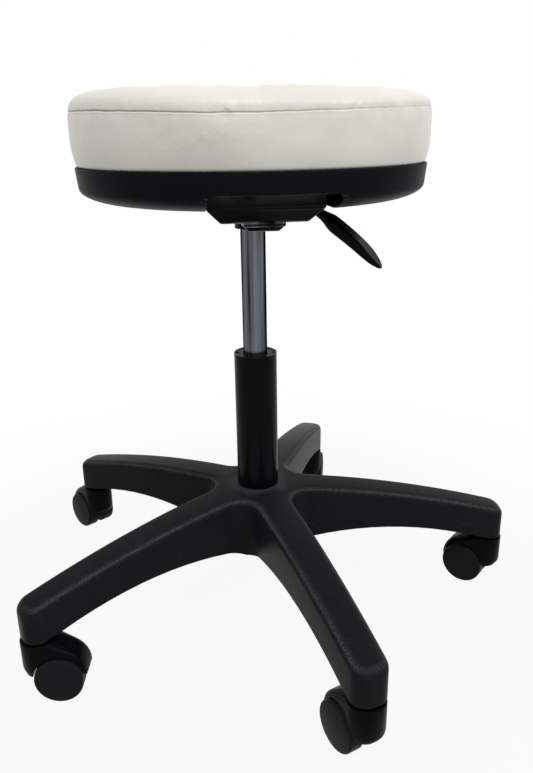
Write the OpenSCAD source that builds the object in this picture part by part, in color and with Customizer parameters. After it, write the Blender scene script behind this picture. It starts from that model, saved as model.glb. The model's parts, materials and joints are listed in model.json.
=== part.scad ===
// Round work stool with a gas-lift column and a five-arm caster base.
// Millimetres, +Z up. The origin is on the floor, on the column's axis.
// +X is the viewer's right and -Y faces the viewer; the seat is raised to the top of its travel.

/* [Star base] */
// Radius of the circle that the caster stems stand on
caster_circle_r = 294; // [260:1:340]
// Azimuth of the first arm
first_arm_az = -142; // [-180:1:180]
// Reach of an arm past its caster stem
arm_tip_reach = 17; // [16:0.5:24]
// Half width of an arm at its caster stem
arm_tip_half_w = 19; // [18.5:0.5:26]
// Half width of an arm where its sides would meet the column's axis
arm_root_half_w = 24; // [22:0.5:32]
// Corner radius of an arm's tip, seen from above
tip_corner_r = 15.5; // [10:0.5:17]
// Radius of the hollow between two arms, seen from above
arm_valley_r = 24; // [12:1:36]
// Depth of an arm at its tip
tip_depth = 39.5; // [36:0.5:60]
// Height of the hub's top above the underside of the tips
hub_rise = 84.5; // [70:0.5:110]
// Height of the hub's underside above the underside of the tips
hub_floor_rise = 8; // [4:0.5:20]
// Rise of the arch under each arm
arch_rise = 24; // [10:0.5:32]
// Distance of the arch's crown from the column's axis
arch_crown_r = 150; // [120:1:190]
// Share of the arm's fall that is straight, the rest being bowed
arm_straight_share = 0.32; // [0.1:0.02:0.8]
// Rounding along the top edges of the arms
arm_edge_r = 9; // [4:0.5:12]
// Wall of the moulded base
base_wall = 4; // [3:0.25:6]
// Thickness of the webs under the arms
web_t = 3; // [2:0.25:5]
// Radius of the boss round each caster socket
socket_boss_r = 10.5; // [9:0.5:13]
// Radius of the hub's sleeve
hub_sleeve_r = 33; // [30:0.5:38]

/* [Casters] */
// Diameter of a wheel
wheel_d = 52; // [46:1:65]
// Width of one wheel
wheel_w = 18.5; // [15:0.5:22]
// Distance of the axle behind the swivel axis
caster_trail = 21.5; // [18:0.5:28]
// Diameter of the axle
axle_d = 8; // [6:0.5:10]
// Thickness of the hood's web between the wheels
hood_web_t = 7; // [5:0.5:9]
// Room between a wheel and its hood
wheel_room = 1.3; // [0.8:0.1:2.5]
// Wall of the hood over the wheels
hood_wall = 3; // [2:0.2:5]
// Half width of the hood over the wheels
hood_half_w = 15.5; // [12:0.5:20]
// Radius of the hood round the stem
hood_neck_r = 19.5; // [17:0.5:22]
// Height of the hood's neck above the wheels
hood_rise = 16.5; // [12:0.5:22]
// Height of the hood's round back above the axle
hood_lift = 4; // [0:0.5:6]
// Height of the hood's lower edge above the floor
hood_hem_z = 30; // [16:0.5:33]
// Gap between the hood and the arm above it
swivel_gap = 2; // [1.5:0.1:4]
// Diameter of the stem in the arm
stem_d = 11; // [9:0.5:13]
// Length of the stem in the arm
stem_len = 27; // [20:1:30]
// Diameter of the stem in the hood
pivot_d = 10; // [8:0.5:11]
// Length of the stem in the hood
pivot_len = 20; // [14:0.5:21]
// Directions in which the five casters trail
caster_yaws = [0, 120, 142, 82, 134]; // [-180:1:180]

/* [Column] */
// Outer diameter of the column
column_d = 50; // [46:1:56]
// Wall of the column
column_wall = 2; // [1.5:0.25:3]
// Length of column above the hub
column_rise = 167.5; // [140:0.5:200]
// Length of column below the hub's underside
column_tail = 15; // [8:1:20]
// Loss of radius over the taper in the hub
column_taper = 0.8; // [0.4:0.1:1.2]
// Thickness of the column's end plate
end_plate_t = 3; // [2:0.5:4]
// Length of the guide bush
bush_len = 80; // [50:1:85]
// Depth of the dimples that lock the bush
dimple_depth = 0.9; // [0.5:0.1:1.2]

/* [Gas lift] */
// Diameter of the pressure tube
tube_d = 28; // [26:0.5:30]
// Wall of the pressure tube
tube_wall = 2; // [1.5:0.25:3]
// Length of tube between the column and the seat's socket
tube_shown = 143.5; // [125:0.5:160]
// Length of tube inside the column when raised
tube_held = 98; // [90:1:104]
// Length of the tube's tapered end
tube_taper_len = 38; // [30:1:45]
// Loss of radius over the tapered end
tube_taper = 0.8; // [0.4:0.1:1.2]
// Diameter of the piston rod
rod_d = 10; // [8:0.5:12]
// Diameter of the release button
button_d = 9; // [7:0.5:10]
// Height of the button above the tube
button_rise = 7; // [5:0.5:9]

/* [Seat] */
// Turn of the seat on its column, counter-clockwise from above
seat_yaw = 8; // [-180:1:180]
// Widest diameter of the cushion
cushion_d = 374; // [340:1:420]
// Height of the cushion's side, from the pan's rim to the seam
band_h = 50; // [36:1:70]
// Height of the cushion's crown above the seam
crown_h = 21.5; // [15:0.5:40]
// Thickness of the cover
cover_t = 1.2; // [0.8:0.1:2]
// Distance of the pan's rim inside the cushion's widest line
pan_inset = 2; // [0:0.5:6]
// Height of the pan
pan_h = 37; // [35:0.5:50]
// Width of the pan's rounded side, seen from below
pan_side_w = 53; // [40:1:60]
// Wall of the pan
pan_wall = 3; // [2:0.25:4]
// Room between the dish and each end of the notch in the pan's front
notch_room = 2; // [1:0.5:6]
// Height of the notch above the pan's floor
notch_h = 17; // [12:0.5:18]
// Thickness of the plywood board
board_t = 12; // [9:0.5:15]
// Depth of the board's top below the pan's rim
board_drop = 3; // [2:0.5:5]

/* [Mechanism] */
// Thickness of the pressed steel plate
sheet_t = 2.5; // [2:0.25:3]
// Width of the plate's flange beside the dish
flange_edge = 20; // [16:1:24]
// Width of the pressed dish
dish_w = 116; // [104:1:118]
// Distance of the dish's front from the column
dish_front = 112; // [100:1:116]
// Distance of the dish's back from the column
dish_back = 66; // [55:1:75]
// Depth of the dish below the pan's floor
dish_drop = 15.5; // [10:0.5:18]
// Size of the slope round the dish's floor
dish_slope = 15; // [8:0.5:16]
// Width of the pressed nose in the dish's front
nose_w = 42; // [30:1:50]
// Depth of the nose below the dish
nose_drop = 9; // [5:0.5:12]
// Outer diameter of the taper socket
socket_d = 40; // [36:0.5:44]
// Diameter of the plate's bolts
bolt_d = 6; // [5:0.5:8]
// Number of screws that hold the pan
pan_screws_n = 6; // [4:1:10]

/* [Lever] */
// Direction of the lever, seen from above and counted from the seat's right
lever_az = -36; // [-45:1:-25]
// Distance of the lever's pivot from the column's axis
lever_pivot_u = 34; // [30:0.5:38]
// Height of the pivot below the tongue
lever_pivot_drop = 11; // [9:0.5:13]
// Diameter of the pivot pin
lever_pin_d = 6; // [5:0.5:8]
// Width of the lever's steel arm
lever_arm_w = 8; // [7:0.5:10]
// Distance of the paddle's tip from the column's axis
paddle_tip_u = 150.5; // [130:0.5:160]
// Fall of the paddle from its root to its tip
paddle_fall = 54.5; // [35:0.5:65]
// Width of the paddle
paddle_w = 22; // [18:1:30]
// Thickness of the paddle
paddle_t = 18; // [12:0.5:20]

/* [Hidden] */
ARMS = 5;
arm_step = 360 / ARMS;
half_step = arm_step / 2;

// Clearances: a fixed fit, a running fit, and the room round parts that only pass near.
fit = 0.03;
run = 0.05;
room = 0.3;
// Overlap that makes a cut break through, or that joins two shapes of one moulding
cut = 1;

// Heights, from the floor up
wheel_r = wheel_d / 2;
hood_top_z = wheel_d + hood_rise;
tip_z = hood_top_z + swivel_gap;
hub_top_z = tip_z + hub_rise;
hub_floor_z = tip_z + hub_floor_rise;
column_z = hub_floor_z - column_tail;
column_top_z = hub_top_z + column_rise;
socket_z = column_top_z + tube_shown;
tube_z = column_top_z - tube_held;
tube_top_z = socket_z + tube_taper_len;
button_top_z = tube_top_z + button_rise;
socket_shown = 15.5;
dish_z = socket_z + socket_shown;
pan_z = dish_z + dish_drop;
pan_top_z = pan_z + pan_h;
board_top_z = pan_top_z - board_drop;
board_z = board_top_z - board_t;
flange_z = board_z - sheet_t;
seam_z = pan_top_z + band_h;
crown_z = seam_z + crown_h;

// Star base
arm_end = caster_circle_r + arm_tip_reach;
arm_taper = atan((arm_root_half_w - arm_tip_half_w) / caster_circle_r);
arch_foot_r = arm_end - 20;
arch_fall = arch_rise / pow(arch_foot_r - arch_crown_r, 2);
hub_flat_r = 40;
arm_fall = hub_rise - tip_depth;
tip_steps = 8;
side_steps = 12;
valley_steps = 6;
edge_steps = 6;
hem_r = 1.5;
column_r = column_d / 2;
taper_z = hub_top_z - 8;
web_lift = 5;
// Distances of the cross ribs from the column's axis
rib_us = [96, 150, 204, 252];

// Casters
hood_r = wheel_r + wheel_room + hood_wall;
wheel_face = hood_web_t / 2 + 0.6;
axle_len = 2 * (wheel_face + wheel_w - 5);
pivot_floor_z = hood_top_z - pivot_len - cut;
collar_t = swivel_gap - room;
collar_r = stem_d / 2 + 3;
stem_bevel = 1;
grip_h = 4;
grip_depth = 1.5;
grip_z = tip_z + stem_len - 7;

// Gas lift
tube_r = tube_d / 2;
tube_bore_r = tube_r - tube_wall;
taper_start_z = socket_z - 2;
rod_r = rod_d / 2;
race_t = 2.5;
ball_d = 5;
ball_n = 9;
race_z = column_z + end_plate_t;
ball_z = race_z + race_t - 0.6;
upper_race_z = ball_z + ball_d - 0.6;
rod_collar_z = upper_race_z + race_t;
rod_collar_t = 3;
buffer_z = rod_collar_z + rod_collar_t + room;
buffer_h = 18;
gland_h = 12;
gland_seal_h = 3;
piston_z = tube_z + gland_h + gland_seal_h + 2;
piston_h = 12;
seal_h = 3;
seal_depth = 2.5;
seal_z = piston_z + (piston_h - seal_h) / 2;
clip_h = 1.5;
clip_depth = 1;
clip_z = column_z - 3.5;
washer_h = 1.6;
spigot_r = 3.5;
button_r = button_d / 2;
tube_cap = 12;
valve_h = 48;

// Seat
cushion_r = cushion_d / 2;
pan_r = cushion_r - pan_inset;
pan_floor_r = pan_r - pan_side_w;
pan_draft = 2;
pan_lip_h = 20;
pan_rim_r = 1;
board_r = pan_r - pan_wall - 4.5;
tuck_r = board_r + cover_t + room;
nut_flange_t = 1.3;
foam_z = board_top_z + nut_flange_t + room;
// The cover leaves the pan's rim, swells to the cushion's widest line and draws in to the seam
band_foot_r = pan_r - 2;
band_foot_z = pan_top_z + 3;
band_belly_z = pan_top_z + 0.6 * band_h;
seam_r = cushion_r - 0.5;
crown_steps = 12;
crown_flat_r = 50;
crown_power = 4.6;
hem_w = 20;
screw_ring_r = pan_floor_r + 18;
screw_boss_r = 6;
screw_d = 4;
screw_sink = 12;
screw_head_d = 8;
flange_w = dish_w + 2 * flange_edge;
notch_w = dish_w + 2 * notch_room;
notch_corner_r = 6;
pan_eye_r = 50;
window_back = dish_back + notch_room;
window_front = dish_front - 18;
bolt_reach_r = bolt_d + 4;
lever_slot_w = 20;
lever_slot_u = 88;

// Mechanism and lever
plate_front = window_front - 4;
plate_back = dish_back + 24;
plate_corner_r = 8;
dish_bend_r = 7;
nose_slope = 6;
nose_bend_r = 3.5;
bend_steps = 4;
bolt_inset = 20;
nut_barrel_d = bolt_d + 2.4;
nut_barrel_h = 9;
tongue_z = button_top_z + room;
tongue_t = 4;
pivot_z = tongue_z - lever_pivot_drop;
ear_t = 3;
ear_gap = 0.4;
wall_u = dish_w / 2 / cos(lever_az);
paddle_root_u = wall_u + 6;
paddle_root_z = pivot_z - 14;
arm_tail_u = paddle_root_u + 22;
arm_root_half_t = 3;
arm_tail_half_t = 2.5;
neck_w = lever_arm_w + 3;
neck_t = 10;
swell_start = 0.05;
swell_run = 0.22;
blunt_start = 0.74;
paddle_thinning = 0.4;
paddle_droop = 0.16;
paddle_scoop = 2;
paddle_sections = 24;
paddle_sides = 28;

$fn = 96;

// Outline of the star base, seen from above

// Half width of an arm at a distance u along it, drawn in by an inset
function arm_half_w(u, inset) =
    arm_root_half_w - (arm_root_half_w - arm_tip_half_w) * u / caster_circle_r - inset / cos(arm_taper);

// Half of one arm's outline: tip centre, rounded corner, side and half of the hollow to the next arm.
// The insets are true parallels, so that every ring of the moulding has matching points.
function half_arm(inset) =
    let (
        corner_u = arm_end - tip_corner_r,
        corner = [corner_u, arm_half_w(corner_u, tip_corner_r)],
        corner_r = tip_corner_r - inset,
        side_turn = 90 - arm_taper,
        valley_c = (arm_valley_r + arm_root_half_w * cos(arm_taper)) / sin(half_step + arm_taper),
        valley = valley_c * [cos(half_step), sin(half_step)],
        valley_r = arm_valley_r + inset,
        side_a = corner + corner_r * [cos(side_turn), sin(side_turn)],
        side_b = valley - valley_r * [cos(side_turn), sin(side_turn)],
        turn_a = 180 + side_turn,
        turn_b = 180 + half_step
    )
    concat(
        [[arm_end - inset, 0]],
        [for (k = [0:tip_steps]) let (a = side_turn * k / tip_steps) corner + corner_r * [cos(a), sin(a)]],
        [for (k = [1:side_steps - 1]) side_a + (side_b - side_a) * k / side_steps],
        [for (k = [0:valley_steps]) let (a = turn_a + (turn_b - turn_a) * k / valley_steps)
            valley + valley_r * [cos(a), sin(a)]]);

// Heights of the arm's top and underside at a distance u along it
function arm_top(u) =
    let (t = max(0, u - hub_flat_r) / (arm_end - hub_flat_r))
    hub_top_z - arm_fall * (arm_straight_share * t + (1 - arm_straight_share) * t * t);
function arm_floor(u) =
    max(u < arch_crown_r ? hub_floor_z : tip_z, tip_z + arch_rise - arch_fall * pow(u - arch_crown_r, 2));

// One ring of the base: half arms mirrored and turned, with a height for each point
half_n = len(half_arm(0));
arm_n = 2 * half_n - 2;
ring_n = ARMS * arm_n;
function arm_ring(inset) =
    let (half = half_arm(inset))
    concat(
        [for (k = [half_n - 2:-1:1]) [half[k][0], -half[k][1]]],
        half);
function turned(p, a, z) = [p[0] * cos(a) - p[1] * sin(a), p[0] * sin(a) + p[1] * cos(a), z];
// A ring follows the arms' top or their underside, raised by dz
function base_ring(inset, from_top, dz) =
    [for (i = [0:ARMS - 1], p = arm_ring(inset))
        turned(p, first_arm_az + arm_step * i, (from_top ? arm_top(p[0]) : arm_floor(p[0])) + dz)];

base_rings = concat(
    [base_ring(base_wall, true, -base_wall - 1),
     base_ring(base_wall - 0.5, false, 0),
     base_ring(hem_r, false, 0),
     base_ring(0, false, hem_r),
     base_ring(0, true, -arm_edge_r)],
    [for (k = [1:edge_steps]) let (a = 90 * k / edge_steps)
        base_ring(arm_edge_r * (1 - cos(a)), true, -arm_edge_r * (1 - sin(a)))]);

// Quads between ring r and the next, then strips across each arm, then the hub's pentagon
function ring_faces(r) =
    [for (k = [0:ring_n - 1]) let (a = r * ring_n + k, b = r * ring_n + (k + 1) % ring_n)
        [a, a + ring_n, b + ring_n, b]];
function across(r, i, k) = r * ring_n + (i * arm_n + half_n - 2 + k + ring_n) % ring_n;
function strip_faces(r, flip) =
    concat(
        [for (i = [0:ARMS - 1]) let (f = [across(r, i, 0), across(r, i, 1), across(r, i, -1)])
            flip ? [f[2], f[1], f[0]] : f],
        [for (i = [0:ARMS - 1], k = [1:half_n - 2])
            let (f = [across(r, i, k), across(r, i, k + 1), across(r, i, -k - 1), across(r, i, -k)])
            flip ? [f[3], f[2], f[1], f[0]] : f],
        [let (f = [for (i = [0:ARMS - 1]) across(r, i, half_n - 1)])
            flip ? [for (k = [ARMS - 1:-1:0]) f[k]] : f]);

module base_shell() {
    last = len(base_rings) - 1;
    polyhedron(
        [for (ring = base_rings, p = ring) p],
        concat(
            [for (r = [0:last - 1], f = ring_faces(r)) f],
            strip_faces(last, true),
            strip_faces(0, false)),
        convexity = 12);
}

module each_arm() {
    for (i = [0:ARMS - 1])
        rotate(first_arm_az + arm_step * i)
            children();
}

// Web down the middle of an arm, with its lower edge following the arch
module arm_web() {
    u_a = hub_sleeve_r - cut;
    u_b = caster_circle_r - socket_boss_r + cut;
    steps = 12;
    us = [for (k = [0:steps]) u_a + (u_b - u_a) * k / steps];
    rotate([90, 0, 0])
        linear_extrude(web_t, center = true)
            polygon(concat(
                [for (u = us) [u, arm_floor(u) + web_lift]],
                [for (k = [steps:-1:0]) [us[k], arm_top(us[k]) - base_wall]]));
}

// Short ribs across an arm, let into both of its walls
module arm_cross_ribs() {
    for (u = rib_us) {
        rib_w = 2 * arm_half_w(u, base_wall / 2);
        rib_z = arm_floor(u) + web_lift;
        translate([u - web_t / 2, -rib_w / 2, rib_z])
            cube([web_t, rib_w, arm_top(u) - base_wall - rib_z]);
    }
}

module star_base() {
    color("#1b1c1e")
    difference() {
        union() {
            base_shell();
            translate([0, 0, hub_floor_z])
                cylinder(r = hub_sleeve_r, h = hub_rise - hub_floor_rise - base_wall);
            each_arm()
                translate([caster_circle_r, 0, tip_z])
                    cylinder(r = socket_boss_r, h = arm_top(caster_circle_r) - tip_z - base_wall);
            each_arm() {
                arm_web();
                arm_cross_ribs();
            }
        }
        rotate_extrude()
            polygon([
                [0, column_z - cut],
                [column_r - column_taper + run, column_z - cut],
                [column_r - column_taper + run, column_z],
                [column_r + run, taper_z],
                [column_r + run, hub_top_z + cut],
                [0, hub_top_z + cut]]);
        each_arm()
            translate([caster_circle_r, 0, tip_z - cut])
                cylinder(d = stem_d + 2 * fit, h = stem_len + 2 * cut + room);
    }
}

// Casters

module at_caster(i) {
    a = first_arm_az + arm_step * i;
    translate([caster_circle_r * cos(a), caster_circle_r * sin(a), 0])
        rotate(caster_yaws[i])
            children();
}

// Stem with its grip groove, its collar under the arm and its pivot in the hood
module stem() {
    rotate_extrude()
        polygon([
            [0, hood_top_z - pivot_len],
            [pivot_d / 2 - stem_bevel, hood_top_z - pivot_len],
            [pivot_d / 2, hood_top_z - pivot_len + stem_bevel],
            [pivot_d / 2, hood_top_z + room],
            [collar_r, hood_top_z + room],
            [collar_r, hood_top_z + room + collar_t],
            [stem_d / 2, tip_z],
            [stem_d / 2, grip_z],
            [stem_d / 2 - grip_depth, grip_z],
            [stem_d / 2 - grip_depth, grip_z + grip_h],
            [stem_d / 2, grip_z + grip_h],
            [stem_d / 2, tip_z + stem_len - stem_bevel],
            [stem_d / 2 - stem_bevel, tip_z + stem_len],
            [0, tip_z + stem_len]]);
}

module caster_stems() {
    color("#8d9093")
    for (i = [0:ARMS - 1])
        at_caster(i)
            stem();
}

// Split spring ring that sits in the stem's groove and grips the arm's socket
module stem_grip_rings() {
    split_w = 2;
    color("#6f7275")
    for (i = [0:ARMS - 1])
        at_caster(i)
            translate([0, 0, grip_z + room / 2])
                difference() {
                    cylinder(d = stem_d, h = grip_h - room);
                    translate([0, 0, -cut])
                        cylinder(r = stem_d / 2 - grip_depth + fit, h = grip_h + 2 * cut);
                    translate([0, -split_w / 2, -cut])
                        cube([stem_d, split_w, grip_h + 2 * cut]);
                }
}

// Round-edged drum, the form that the hood's skin is drawn over
module drum(r, z_a, z_b, edge_a, edge_b) {
    steps = 4;
    rotate_extrude($fn = 36)
        polygon(concat(
            [[0, z_a]],
            [for (k = [0:steps]) let (a = 90 * k / steps)
                [r - edge_a * (1 - sin(a)), z_a + edge_a * (1 - cos(a))]],
            [for (k = [0:steps]) let (a = 90 * k / steps)
                [r - edge_b * (1 - cos(a)), z_b - edge_b * (1 - sin(a))]],
            [[0, z_b]]));
}

module caster_hood(i) {
    color("#1d1e20")
    at_caster(i)
        difference() {
            hull() {
                drum(hood_neck_r, hood_hem_z, hood_top_z, 7, 1.5);
                translate([caster_trail - hood_lift / 3, 0, wheel_r + hood_lift])
                    rotate([90, 0, 0])
                        drum(hood_r, -hood_half_w, hood_half_w, 5, 5);
            }
            for (side = [-90, 90])
                translate([caster_trail, 0, wheel_r])
                    rotate([side, 0, 0])
                        translate([0, 0, hood_web_t / 2])
                            cylinder(r = wheel_r + wheel_room, h = hood_neck_r + wheel_w);
            translate([caster_trail, 0, hood_hem_z - wheel_d])
                cube([3 * wheel_d, 3 * wheel_d, 2 * wheel_d], center = true);
            translate([caster_trail, 0, wheel_r])
                rotate([90, 0, 0])
                    cylinder(d = axle_d + 2 * fit, h = 2 * hood_web_t, center = true);
            translate([0, 0, pivot_floor_z])
                cylinder(d = pivot_d + 2 * run, h = pivot_len + 2 * cut);
        }
}

module caster_axle(i) {
    color("#a4a7aa")
    at_caster(i)
        translate([caster_trail, 0, wheel_r])
            rotate([90, 0, 0])
                cylinder(d = axle_d, h = axle_len, center = true);
}

// Wheel on a blind bore, with a rounded tread and a shallow domed face
module wheel() {
    tread_r = 3;
    dome = 1.5;
    face_z = wheel_w - dome;
    steps = 5;
    rotate_extrude()
        polygon(concat(
            [[axle_d / 2 + run, 0], [wheel_r - 1.5, 0], [wheel_r, 1.5]],
            [for (k = [0:steps]) let (a = 90 * k / steps)
                [wheel_r - tread_r + tread_r * cos(a), face_z - tread_r + tread_r * sin(a)]],
            [for (k = [1:steps]) let (t = 1 - k / steps)
                [(wheel_r - tread_r) * t, face_z + dome * (1 - t * t)]],
            [[0, wheel_w - 4.5], [axle_d / 2 + run, wheel_w - 4.5]]));
}

module caster_wheel(i, side) {
    color("#161718")
    at_caster(i)
        translate([caster_trail, 0, wheel_r])
            rotate([side, 0, 0])
                translate([0, 0, wheel_face])
                    wheel();
}

// Column and gas lift

module column_tube() {
    dimple_r = 4;
    color("#1c1d1f")
    difference() {
        rotate_extrude()
            polygon([
                [rod_r + run, column_z],
                [column_r - column_taper, column_z],
                [column_r, taper_z],
                [column_r, column_top_z],
                [column_r - column_wall, column_top_z],
                [column_r - column_wall, taper_z],
                [column_r - column_wall - column_taper, column_z + end_plate_t],
                [rod_r + run, column_z + end_plate_t]]);
        for (a = [-130, -10, 110])
            rotate(a)
                translate([column_r + dimple_r - dimple_depth, 0, column_top_z - 11])
                    sphere(r = dimple_r);
    }
}

// Plastic bush that the tube slides and turns in, with notches in its rim
module guide_bush() {
    notch_n = 6;
    color("#3a3b3d")
    difference() {
        translate([0, 0, column_top_z - bush_len])
            difference() {
                cylinder(r = column_r - column_wall - fit, h = bush_len - 0.6);
                translate([0, 0, -cut])
                    cylinder(r = tube_r + run, h = bush_len + 2 * cut);
            }
        for (k = [0:notch_n - 1])
            rotate(360 / notch_n * k)
                translate([column_r - column_wall - 4, -2.5, column_top_z - 5])
                    cube([6, 5, 6]);
    }
}

module ring(r_in, r_out, z, h) {
    translate([0, 0, z])
        difference() {
            cylinder(r = r_out, h = h);
            translate([0, 0, -cut])
                cylinder(r = r_in, h = h + 2 * cut);
        }
}

// Pitch circle of the thrust bearing's balls, and the groove they run in
ball_pitch_r = 13;
module ball_groove(z) {
    translate([0, 0, z])
        rotate_extrude()
            translate([ball_pitch_r, 0])
                circle(d = ball_d + 2 * run);
}

module bearing_lower_race() {
    color("#9a9da0")
    difference() {
        ring(rod_r + 1, column_r - column_wall - column_taper - 1, race_z, race_t);
        ball_groove(ball_z + ball_d / 2);
    }
}

module bearing_upper_race() {
    color("#9a9da0")
    difference() {
        ring(rod_r + fit, column_r - column_wall - column_taper - 2, upper_race_z, race_t);
        ball_groove(ball_z + ball_d / 2);
    }
}

module bearing_balls() {
    color("#c4c6c8")
    for (k = [0:ball_n - 1])
        rotate(360 / ball_n * k)
            translate([ball_pitch_r, 0, ball_z + ball_d / 2])
                sphere(d = ball_d);
}

module ball_cage() {
    cage_t = 1.6;
    color("#b89b4a")
    difference() {
        ring(ball_pitch_r - 4, ball_pitch_r + 4, ball_z + (ball_d - cage_t) / 2, cage_t);
        for (k = [0:ball_n - 1])
            rotate(360 / ball_n * k)
                translate([ball_pitch_r, 0, ball_z])
                    cylinder(d = ball_d + 4 * run, h = ball_d);
    }
}

// Rod with its clip groove, thrust collar and the peened spigot that holds the piston
module piston_rod() {
    end_z = clip_z - 3.5;
    peen_h = 2;
    color("#b9bbbd")
    rotate_extrude()
        polygon([
            [0, end_z],
            [rod_r - clip_depth, end_z],
            [rod_r, end_z + clip_depth],
            [rod_r, clip_z],
            [rod_r - clip_depth, clip_z],
            [rod_r - clip_depth, clip_z + clip_h],
            [rod_r, clip_z + clip_h],
            [rod_r, rod_collar_z],
            [rod_r + 3, rod_collar_z],
            [rod_r + 3, rod_collar_z + rod_collar_t],
            [rod_r, rod_collar_z + rod_collar_t],
            [rod_r, piston_z],
            [spigot_r, piston_z],
            [spigot_r, piston_z + piston_h],
            [rod_r, piston_z + piston_h],
            [spigot_r, piston_z + piston_h + peen_h],
            [0, piston_z + piston_h + peen_h]]);
}

module piston() {
    color("#8f9294")
    difference() {
        ring(spigot_r + fit, tube_bore_r - room, piston_z, piston_h);
        ring(tube_bore_r - seal_depth, tube_r, seal_z - fit, seal_h + 2 * fit);
    }
}

module piston_seal() {
    color("#202124")
    ring(tube_bore_r - seal_depth + fit, tube_bore_r - run, seal_z, seal_h);
}

module bump_buffer() {
    color("#27282a")
    rotate_extrude()
        polygon([
            [rod_r + fit, buffer_z],
            [rod_r + 8, buffer_z],
            [rod_r + 6, buffer_z + buffer_h / 2],
            [rod_r + 7, buffer_z + buffer_h],
            [rod_r + fit, buffer_z + buffer_h]]);
}

module rod_washer() {
    color("#a0a3a6")
    ring(rod_r + fit, rod_r + 6, column_z - room - washer_h, washer_h);
}

module rod_clip() {
    color("#7b7e81")
    difference() {
        ring(rod_r - clip_depth + fit, rod_r + 3, clip_z + fit, clip_h - 2 * fit);
        translate([0, -rod_d / 4, clip_z - cut])
            cube([2 * rod_d, rod_d / 2, clip_h + 2 * cut]);
    }
}

// Tube with a straight sliding length, a tapered end and a cap round the button
module pressure_tube() {
    tube_bevel = 0.8;
    color("#b4b7b9")
    rotate_extrude()
        polygon([
            [tube_bore_r, tube_z],
            [tube_r - tube_bevel, tube_z],
            [tube_r, tube_z + tube_bevel],
            [tube_r, taper_start_z],
            [tube_r - tube_taper, tube_top_z],
            [button_r + run, tube_top_z],
            [button_r + run, tube_top_z - tube_cap],
            [tube_bore_r, tube_top_z - tube_cap]]);
}

module rod_gland() {
    color("#55585b")
    ring(rod_r + run, tube_bore_r - fit, tube_z, gland_h);
}

module gland_seal() {
    color("#202124")
    ring(rod_r + run, tube_bore_r - fit, tube_z + gland_h, gland_seal_h);
}

module valve_block() {
    valve_top = tube_top_z - tube_cap;
    color("#a58a46")
    difference() {
        ring(button_r / 2 + run, tube_bore_r - fit, valve_top - valve_h, valve_h);
        for (k = [0:2])
            rotate(120 * k)
                translate([tube_bore_r - 2, -1, valve_top - valve_h - cut])
                    cube([4, 2, valve_h + 2 * cut]);
    }
}

module release_button() {
    stem_z = tube_top_z - tube_cap - valve_h / 2;
    head_z = tube_top_z - tube_cap + 5;
    color("#d3d5d6")
    rotate_extrude()
        polygon([
            [0, stem_z],
            [button_r / 2, stem_z],
            [button_r / 2, head_z],
            [button_r, head_z],
            [button_r, button_top_z - 1.2],
            [button_r / 2, button_top_z - 0.3],
            [0, button_top_z]]);
}

// Seat mechanism

module on_seat() {
    rotate(seat_yaw)
        children();
}

module taper_socket() {
    color("#202123")
    difference() {
        translate([0, 0, socket_z])
            cylinder(d = socket_d, h = tube_taper_len - 1);
        rotate_extrude()
            polygon([
                [0, taper_start_z],
                [tube_r + fit, taper_start_z],
                [tube_r - tube_taper + fit, tube_top_z],
                [0, tube_top_z]]);
    }
}

// One corner of a bent sheet: an arc of radius r between the directions of its two neighbours
function bend(before, p, after, r) =
    let (
        u = (before - p) / norm(before - p),
        v = (after - p) / norm(after - p),
        half = acos(u * v) / 2,
        centre = p + (u + v) / norm(u + v) * r / sin(half),
        from = p + u * r / tan(half) - centre,
        to = p + v * r / tan(half) - centre,
        start = atan2(from[1], from[0]),
        turn = (atan2(to[1], to[0]) - start + 540) % 360 - 180
    )
    [for (k = [0:bend_steps]) let (a = start + turn * k / bend_steps)
        centre + r * [cos(a), sin(a)]];

// Profile of a pressed box: two walls, two sloped corners and a floor, with its bends rounded
function pressed_profile(a, b, z_a, z_b, slope, r) =
    let (p = [[a, z_b], [a, z_a + slope], [a + slope, z_a], [b - slope, z_a], [b, z_a + slope], [b, z_b]])
    concat([p[0]], [for (k = [1:4], q = bend(p[k - 1], p[k], p[k + 1], r)) q], [p[5]]);

// Pressed box: one profile across the plate met by one profile along it
module pressed_box(half_w, front, back, z_a, z_b, slope, r) {
    intersection() {
        rotate([90, 0, 0])
            linear_extrude(4 * front, center = true)
                polygon(pressed_profile(-half_w, half_w, z_a, z_b, slope, r));
        rotate([90, 0, 90])
            linear_extrude(4 * half_w, center = true)
                polygon(pressed_profile(-front, back, z_a, z_b, slope, r));
    }
}

module plate_outline() {
    offset(r = plate_corner_r)
        offset(delta = -plate_corner_r)
            translate([-flange_w / 2, -plate_front])
                square([flange_w, plate_front + plate_back]);
    translate([-dish_w / 2, -dish_front - 5])
        square([dish_w, dish_front]);
}

module each_bolt() {
    for (x = [-1, 1], y = [bolt_inset - plate_front, plate_back - bolt_inset])
        translate([x * (dish_w + flange_edge) / 2, y, 0])
            children();
}

module on_lever() {
    rotate(lever_az)
        children();
}

// Two ears that carry the lever's pin, standing on the dish's floor
module lever_ears() {
    on_lever()
        for (side = [-1, 1])
            translate([lever_pivot_u, side * (lever_arm_w / 2 + ear_gap + ear_t / 2), 0])
                rotate([90, 0, 0])
                    linear_extrude(ear_t, center = true) {
                        translate([0, pivot_z])
                            circle(d = lever_pin_d + 7);
                        translate([-lever_pin_d / 2 - 3.5, dish_z + sheet_t / 2])
                            square([lever_pin_d + 7, pivot_z - dish_z - sheet_t / 2]);
                    }
}

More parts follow.
